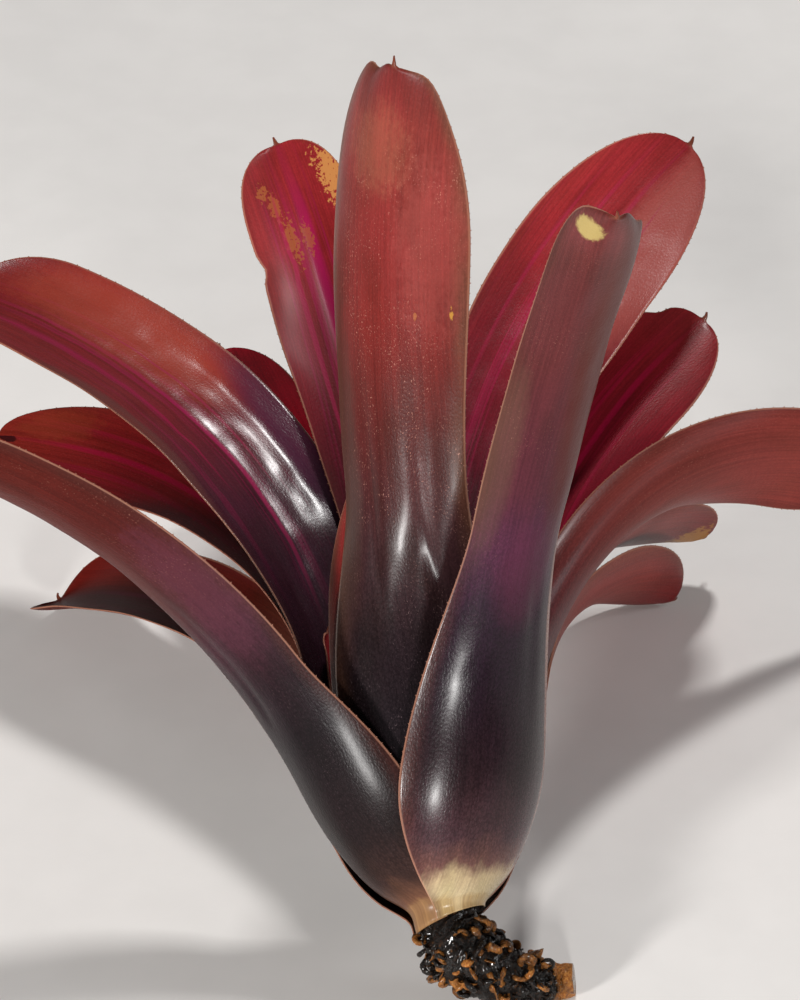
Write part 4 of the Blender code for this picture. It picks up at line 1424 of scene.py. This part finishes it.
@dataclass
class Rootstock:
    """The stem inside the sheaths, the old rootstock, its curled root ends and the cut runner.

    Attributes:
        finish: its look.
        roots: how many root ends it has.
        seed: what their random draws start from.
        heights: places on the stem, counted along it from the crown.
        stem_radii: its radius at each.
        runner: points on the runner's centre line, in the plant's place.
        runner_radii: its radius at each.
        core_sides: the points of one ring of the core.
        core_steps: the rings between two points of the centre line.
        length: the least and greatest length of a root end.
        thick: the least and greatest radius of one.
        clear_of_sheaths: how far root ends stay below the sheaths.
        clear_of_ground: how far they stay above the ground.
    """

    finish: RootFinish = RootFinish()
    roots: int = 170
    seed: int = 7
    heights: tuple[float, ...] = (10.8, 4.5, 0.3, -3.5)
    stem_radii: tuple[float, ...] = (1.3, 4.4, 5.8, 7.0)
    runner: tuple[Place, ...] = (
        (-20.5, -1.6, 13.6), (-13.5, -3.8, 9.7), (-6.5, -2.8, 6.3), (-1.5, -0.8, 4.3), (4.4, 0.6, 3.9))
    runner_radii: tuple[float, ...] = (7.8, 6.6, 5.1, 4.2, 3.5)
    core_sides: int = 96
    core_steps: int = 24
    length: tuple[float, float] = (3.2, 8.5)
    thick: tuple[float, float] = (0.42, 0.9)
    clear_of_sheaths: float = 0.6
    clear_of_ground: float = 0.7

    CUT_FACES = Vector((0.0, -0.81, 0.59))
    SLANT = 0.36
    SLANT_RINGS = 34.0
    CAP_RINGS = (0.9, 0.82, 0.45)
    ROUGH_RUN = 3.0
    SMOOTH_RINGS = 16.0
    RUNNER_FROM = 0.8
    RUNNER_WORN = 0.95
    BARK_SCALE = 0.4
    BARK_NOISE = (0.9, 2.1, 5)
    RIDGE_SCALE = 1.7
    RIDGE_SHIFT = Vector((9.0, 3.0, 5.0))
    ROOTLESS_SPANS = 1.7
    LOWEST_ROOT = 1.5
    ROOT_SUNK = 0.94
    ROOT_JOINTS = 6
    ROOT_STEPS = 3
    ROOT_SIDES = 10
    ROOT_RAKE = (-0.6, 1.0)
    ROOT_CURL = (0.5, 1.4)
    ROOT_FLAT = (0.55, 0.9)
    FLAKE_FLAT = (0.25, 0.4)
    FLAKE_LENGTH = 0.7
    FLAKE_GIRTH = 1.3
    FLAKE_SHARE = 0.4
    ROOT_TAPER = ((0.0, 0.3, 0.8, 1.0), (0.8, 1.0, 0.85, 0.35))
    ROOT_WORN = (0.0, 0.1, 0.5, 0.75, 0.9, 1.0)

    def __post_init__(self) -> None:
        """Works out the centre line and starts with no points."""
        lean = Leaf.lean().to_3x3()
        self.right, self.front, self.stem = (
            lean @ Vector(way) for way in ((1.0, 0.0, 0.0), (0.0, -1.0, 0.0), (0.0, 0.0, 1.0)))
        points = [Vector(Leaf.CROWN) + self.stem * height for height in self.heights]
        points += [Vector(p) for p in self.runner]
        self.route = self.smooth(points, self.core_steps)
        places = np.linspace(0.0, len(points) - 1.0, len(self.route))
        self.radii = np.interp(places, range(len(points)), [*self.stem_radii, *self.runner_radii])
        self.points: list[Vector] = []
        self.faces: list[tuple[int, ...]] = []
        self.worn: list[float] = []
        self.cut: list[float] = []

    @staticmethod
    def smooth(points: Sequence[Vector], steps: int) -> list[Vector]:
        """Draws a curve through points.

        Args:
            points: the points.
            steps: how many steps the curve takes between each two.

        Returns:
            Points along the curve.
        """
        ends = [points[0] * 2.0 - points[1], *points, points[-1] * 2.0 - points[-2]]
        route = []
        for a, b, c, d in zip(ends, ends[1:], ends[2:], ends[3:]):
            for step in range(steps):
                t = step / steps
                route.append(0.5 * (2.0 * b + (c - a) * t + (2.0 * a - 5.0 * b + 4.0 * c - d) * t**2
                                    + (3.0 * b - a - 3.0 * c + d) * t**3))
        return [*route, points[-1]]

    @staticmethod
    def any_way(rng: random.Random) -> Vector:
        """A random vector."""
        return Vector([rng.uniform(-1.0, 1.0) for _ in range(3)])

    def _above_collar(self, point: Vector) -> float:
        """How far a point stands along the stem above the lower edge of the sheaths.

        Args:
            point: the point.

        Returns:
            The distance, which is below 0 on the bare rootstock.
        """
        away = point - Vector(Leaf.CROWN)
        azimuth = math.atan2(away.dot(self.right), away.dot(self.front))
        return away.dot(self.stem) + float(Leaf.collar_depth(np.array(azimuth)))

    def _add(self, point: Vector, worn: float, cut: float = 0.0) -> None:
        """Adds a point with its values.

        Args:
            point: the point.
            worn: how much orange wood shows there.
            cut: how much of the cut face's colour shows there.
        """
        self.points.append(point)
        self.worn.append(worn)
        self.cut.append(cut)

    def add_tube(self, route: Sequence[Vector], reaches: Array, worn: Sequence[float], flat: float = 1.0,
                 across: Vector = Vector((0.3, -0.5, 0.8)), slant: float = 0.0) -> None:
        """Adds a closed body along a route.

        Args:
            route: its centre line.
            reaches: the radius at each ring and side.
            worn: how much orange wood shows at each ring.
            flat: its second width as a share of the first.
            across: the direction of its first side.
            slant: how far the last ring is cut back on the side that the cut faces, as a share of the radius.
        """
        first, sides = len(self.points), reaches.shape[1]
        for i, centre in enumerate(route):
            ahead = (route[min(i + 1, len(route) - 1)] - route[max(i - 1, 0)]).normalized()
            across = (across - ahead * across.dot(ahead)).normalized()
            over = ahead.cross(across) * flat
            near_end = (i - len(route) + self.SLANT_RINGS + 1.0) / self.SLANT_RINGS
            cut_back = float(ease(np.array(near_end))) * slant
            for k in range(sides):
                turn = 2.0 * math.pi * k / sides
                spoke = (across * math.cos(turn) + over * math.sin(turn)) * reaches[i, k]
                shift = ahead * cut_back * (spoke.dot(self.CUT_FACES) + reaches[i, k])
                self._add(centre + spoke - shift, worn[i])
        for start in range(first, first + (len(route) - 1) * sides, sides):
            self._add_strip(start, start + sides, sides)
        for i in (0, len(route) - 1):
            start = first + i * sides
            rim = self.points[start:start + sides]
            middle = sum(rim, Vector()) / sides
            for share in self.CAP_RINGS:
                ring = len(self.points)
                for point in rim:
                    self._add(middle.lerp(point, share), worn[i], float(share < self.CAP_RINGS[0]))
                self._add_strip(start, ring, sides)
                start = ring
            self.faces += [(start + k, start + (k + 1) % sides, len(self.points)) for k in range(sides)]
            self._add(middle, worn[i], 1.0)

    def _add_strip(self, near: int, far: int, sides: int) -> None:
        """Adds the faces between two rings of as many sides, given the first point of each."""
        after = [(k + 1) % sides for k in range(sides)]
        self.faces += [(near + k, near + after[k], far + after[k], far + k) for k in range(sides)]

    def add_core(self) -> None:
        """Adds the lumpy core and the runner with its cut end."""
        turns = np.arange(self.core_sides) * 2.0 * math.pi / self.core_sides
        reaches = np.empty((len(self.route), self.core_sides))
        last = len(self.route) - 1
        worn = []
        for i, centre in enumerate(self.route):
            below = held((-self._above_collar(centre) + self.ROUGH_RUN) / self.ROUGH_RUN)
            rough = below * min((last - i) / self.SMOOTH_RINGS, 1.0)
            for k, turn in enumerate(turns):
                spot = centre * self.BARK_SCALE + Vector((math.cos(turn), math.sin(turn), 0.0)) * 2.0
                lump = noise.fractal(spot, *self.BARK_NOISE)
                ridge = abs(noise.noise(spot * self.RIDGE_SCALE + self.RIDGE_SHIFT))
                bark = (rough * 0.9 + 0.15) * lump
                reaches[i, k] = self.radii[i] + bark + rough * (1.3 * (0.25 - ridge) - 0.25)
            worn.append(held((i / last - self.RUNNER_FROM) / 0.1) * self.RUNNER_WORN)
        self.add_tube(self.route, reaches, worn, slant=self.SLANT)

    def add_root(self, rng: random.Random) -> None:
        """Adds one stubby root end or flat flake, curled against the core.

        Args:
            rng: where its random draws come from.
        """
        lowest = len(self.route) - int(self.ROOTLESS_SPANS * self.core_steps)
        while True:
            i = rng.randrange(self.core_steps * (len(self.heights) - 1) - 2, lowest)
            ahead = (self.route[i + 1] - self.route[i]).normalized()
            side = ahead.orthogonal().normalized()
            side.rotate(Matrix.Rotation(rng.uniform(0.0, 2.0 * math.pi), 3, ahead))
            point = self.route[i] + side * self.radii[i] * self.ROOT_SUNK
            if self._above_collar(point) < -self.clear_of_sheaths and point.z > self.LOWEST_ROOT:
                break
        core, heading = self.route[i], (side * 0.8 + ahead * rng.uniform(*self.ROOT_RAKE)).normalized()
        curl = self.any_way(rng).normalized() * rng.uniform(*self.ROOT_CURL)
        flake = rng.random() < self.FLAKE_SHARE
        pace = rng.uniform(*self.length) * (self.FLAKE_LENGTH if flake else 1.0) / self.ROOT_JOINTS
        made = [point]
        for _ in range(self.ROOT_JOINTS):
            point = point + heading * pace
            point = point - self.stem * max(self._above_collar(point) + self.clear_of_sheaths, 0.0)
            point.z = max(point.z, self.clear_of_ground)
            made.append(point.copy())
            back = (core - point).normalized()
            heading = (heading + 0.5 * curl.cross(heading) + 0.6 * back).normalized()
        route = self.smooth(made, self.ROOT_STEPS)
        girth = rng.uniform(*self.thick) * (self.FLAKE_GIRTH if flake else 1.0)
        taper = girth * np.interp(np.linspace(0.0, 1.0, len(route)), *self.ROOT_TAPER)
        bulges = np.array([[1.0 + 0.5 * noise.noise(p * 1.1 + Vector((k * 0.8, 0.0, 0.0)))
                            for k in range(self.ROOT_SIDES)] for p in route])
        worn = [rng.choice(self.ROOT_WORN)] * len(route)
        flat = rng.uniform(*(self.FLAKE_FLAT if flake else self.ROOT_FLAT))
        self.add_tube(route, taper[:, None] * bulges, worn, flat, self.any_way(rng))

    def build(self) -> bpy.types.Object:
        """Makes the rootstock and stands it in for its solid.

        Returns:
            The rootstock.
        """
        self.add_core()
        rng = random.Random(self.seed)
        for _ in range(self.roots):
            self.add_root(rng)
        low, high = (Vector(corner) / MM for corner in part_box("rootstock"))
        for point in self.points:
            for axis in range(3):
                point[axis] = min(max(point[axis], low[axis]), high[axis])
        values = {"worn": np.array(self.worn), "cut": np.array(self.cut), "grain": np.array(self.points)}
        piece = smooth_piece("rootstock_bark", [point * MM for point in self.points], self.faces, values)
        piece.data.materials.append(self.finish.material("rootstock"))
        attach(piece, "root")
        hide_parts("rootstock")
        return piece


@dataclass(frozen=True)
class Lamp:
    """One square soft light aimed at the middle of the plant.

    Attributes:
        name: the light's name.
        azimuth: its direction, from the camera's side towards +X.
        height: its angle above the level of the plant.
        away: its distance in metres.
        size: its side in metres.
        power: its power in watts.
        colour: its tint in linear light.
    """

    name: str
    azimuth: float
    height: float
    away: float
    size: float
    power: float
    colour: Colour

    AIM = Vector((-0.03, 0.05, 0.08))

    def hang(self) -> None:
        """Adds the light to the scene."""
        lamp = bpy.data.lights.new(self.name, "AREA")
        lamp.size, lamp.energy, lamp.color = self.size, self.power, self.colour
        turn, lift = math.radians(self.azimuth), math.radians(self.height)
        way = Vector((math.cos(lift) * math.sin(turn), -math.cos(lift) * math.cos(turn), math.sin(lift)))
        holder = add_object(self.name, lamp)
        holder.location = self.AIM + way * self.away
        holder.rotation_euler = (-way).to_track_quat("-Z", "Y").to_euler()


@dataclass
class Studio:
    """The plain pale floor, the soft lights and the camera."""

    camera_at: Place = (-34.5, -671.5, 620.4)
    pitch: float = 36.0
    lens: float = 150.7
    sensor_width: float = 36.0
    floor_half: float = 3.0
    paper: Colour = (230, 227, 224)
    fleck: Colour = (227, 224, 221)
    flecks: Place = (60.0, 60.0, 60.0)
    floor_roughness: float = 0.9
    floor_specular: float = 0.1
    room_tint: Colour = (0.97, 0.98, 1.0)
    room_light: float = 0.12
    room_seen: float = 0.78
    lamps: tuple[Lamp, ...] = (
        Lamp("key", -42.0, 14.0, 1.3, 0.18, 15.0, (1.0, 0.98, 0.96)),
        Lamp("top", 170.0, 66.0, 1.2, 0.14, 8.0, (1.0, 0.99, 0.98)),
        Lamp("fill", 92.0, 26.0, 1.4, 0.4, 3.0, (0.95, 0.97, 1.0)),
        Lamp("low", 6.0, 13.0, 1.2, 0.12, 6.5, (1.0, 0.99, 0.97)))

    def build(self) -> None:
        """Sets the studio up."""
        self.add_floor()
        self.add_lights()
        self.add_camera()

    def add_floor(self) -> None:
        """Makes the floor of flecked paper."""
        half = self.floor_half
        corners = [(-half, -half, 0.0), (half, -half, 0.0), (half, half, 0.0), (-half, half, 0.0)]
        mesh = bpy.data.meshes.new("floor")
        mesh.from_pydata(corners, [], [(0, 1, 2, 3)])
        made, bench, shader = new_material("floor_paper")
        place = bench.node("ShaderNodeTexCoord").outputs["Object"]
        flecks = bench.between(bench.noise(place, self.flecks, detail=4.0), 0.3, 0.7)
        bench.put(shader["Base Color"], bench.mix(flecks, linear(self.paper), linear(self.fleck)))
        shader["Roughness"].default_value = self.floor_roughness
        shader["Specular IOR Level"].default_value = self.floor_specular
        mesh.materials.append(made)
        floor = add_object("floor", mesh)

    def add_lights(self) -> None:
        """Hangs the soft lights and sets the even light of the room."""
        scene = bpy.context.scene
        scene.view_settings.view_transform = "Standard"
        scene.world = bpy.data.worlds.new("room")
        scene.world.use_nodes = True
        bench = NodeBench(scene.world.node_tree)
        back = scene.world.node_tree.nodes["Background"].inputs
        back["Color"].default_value = (*self.room_tint, 1.0)
        seen = bench.node("ShaderNodeLightPath").outputs["Is Camera Ray"]
        bench.put(back["Strength"], bench.between(seen, 0.0, 1.0, self.room_light, self.room_seen))
        for lamp in self.lamps:
            lamp.hang()

    def add_camera(self) -> None:
        """Stands the camera where the photograph was taken from."""
        lens = bpy.data.cameras.new("camera")
        lens.lens, lens.sensor_width = self.lens, self.sensor_width
        lens.clip_start, lens.clip_end = 0.01, 20.0
        camera = add_object("camera", lens)
        camera.location = Vector(self.camera_at) * MM
        camera.rotation_euler = (math.radians(90.0 - self.pitch), 0.0, 0.0)
        bpy.context.scene.camera = camera


def report(piece: bpy.types.Object) -> None:
    """Logs one finished piece."""
    LOG.info("%s: %d faces", piece.name, len(piece.data.polygons))


def main() -> None:
    """Builds the plant and its studio in order."""
    logging.basicConfig(level=logging.INFO, format="%(name)s: %(message)s")
    tissue, blotch = TissueGroup(), BlotchGroup()
    report(Rootstock().build())
    for number, leaf in enumerate(LEAVES, start=1):
        report(leaf.build(number, tissue, blotch))
    Studio().build()
    bpy.context.view_layer.update()


if __name__ == "__main__":
    main()
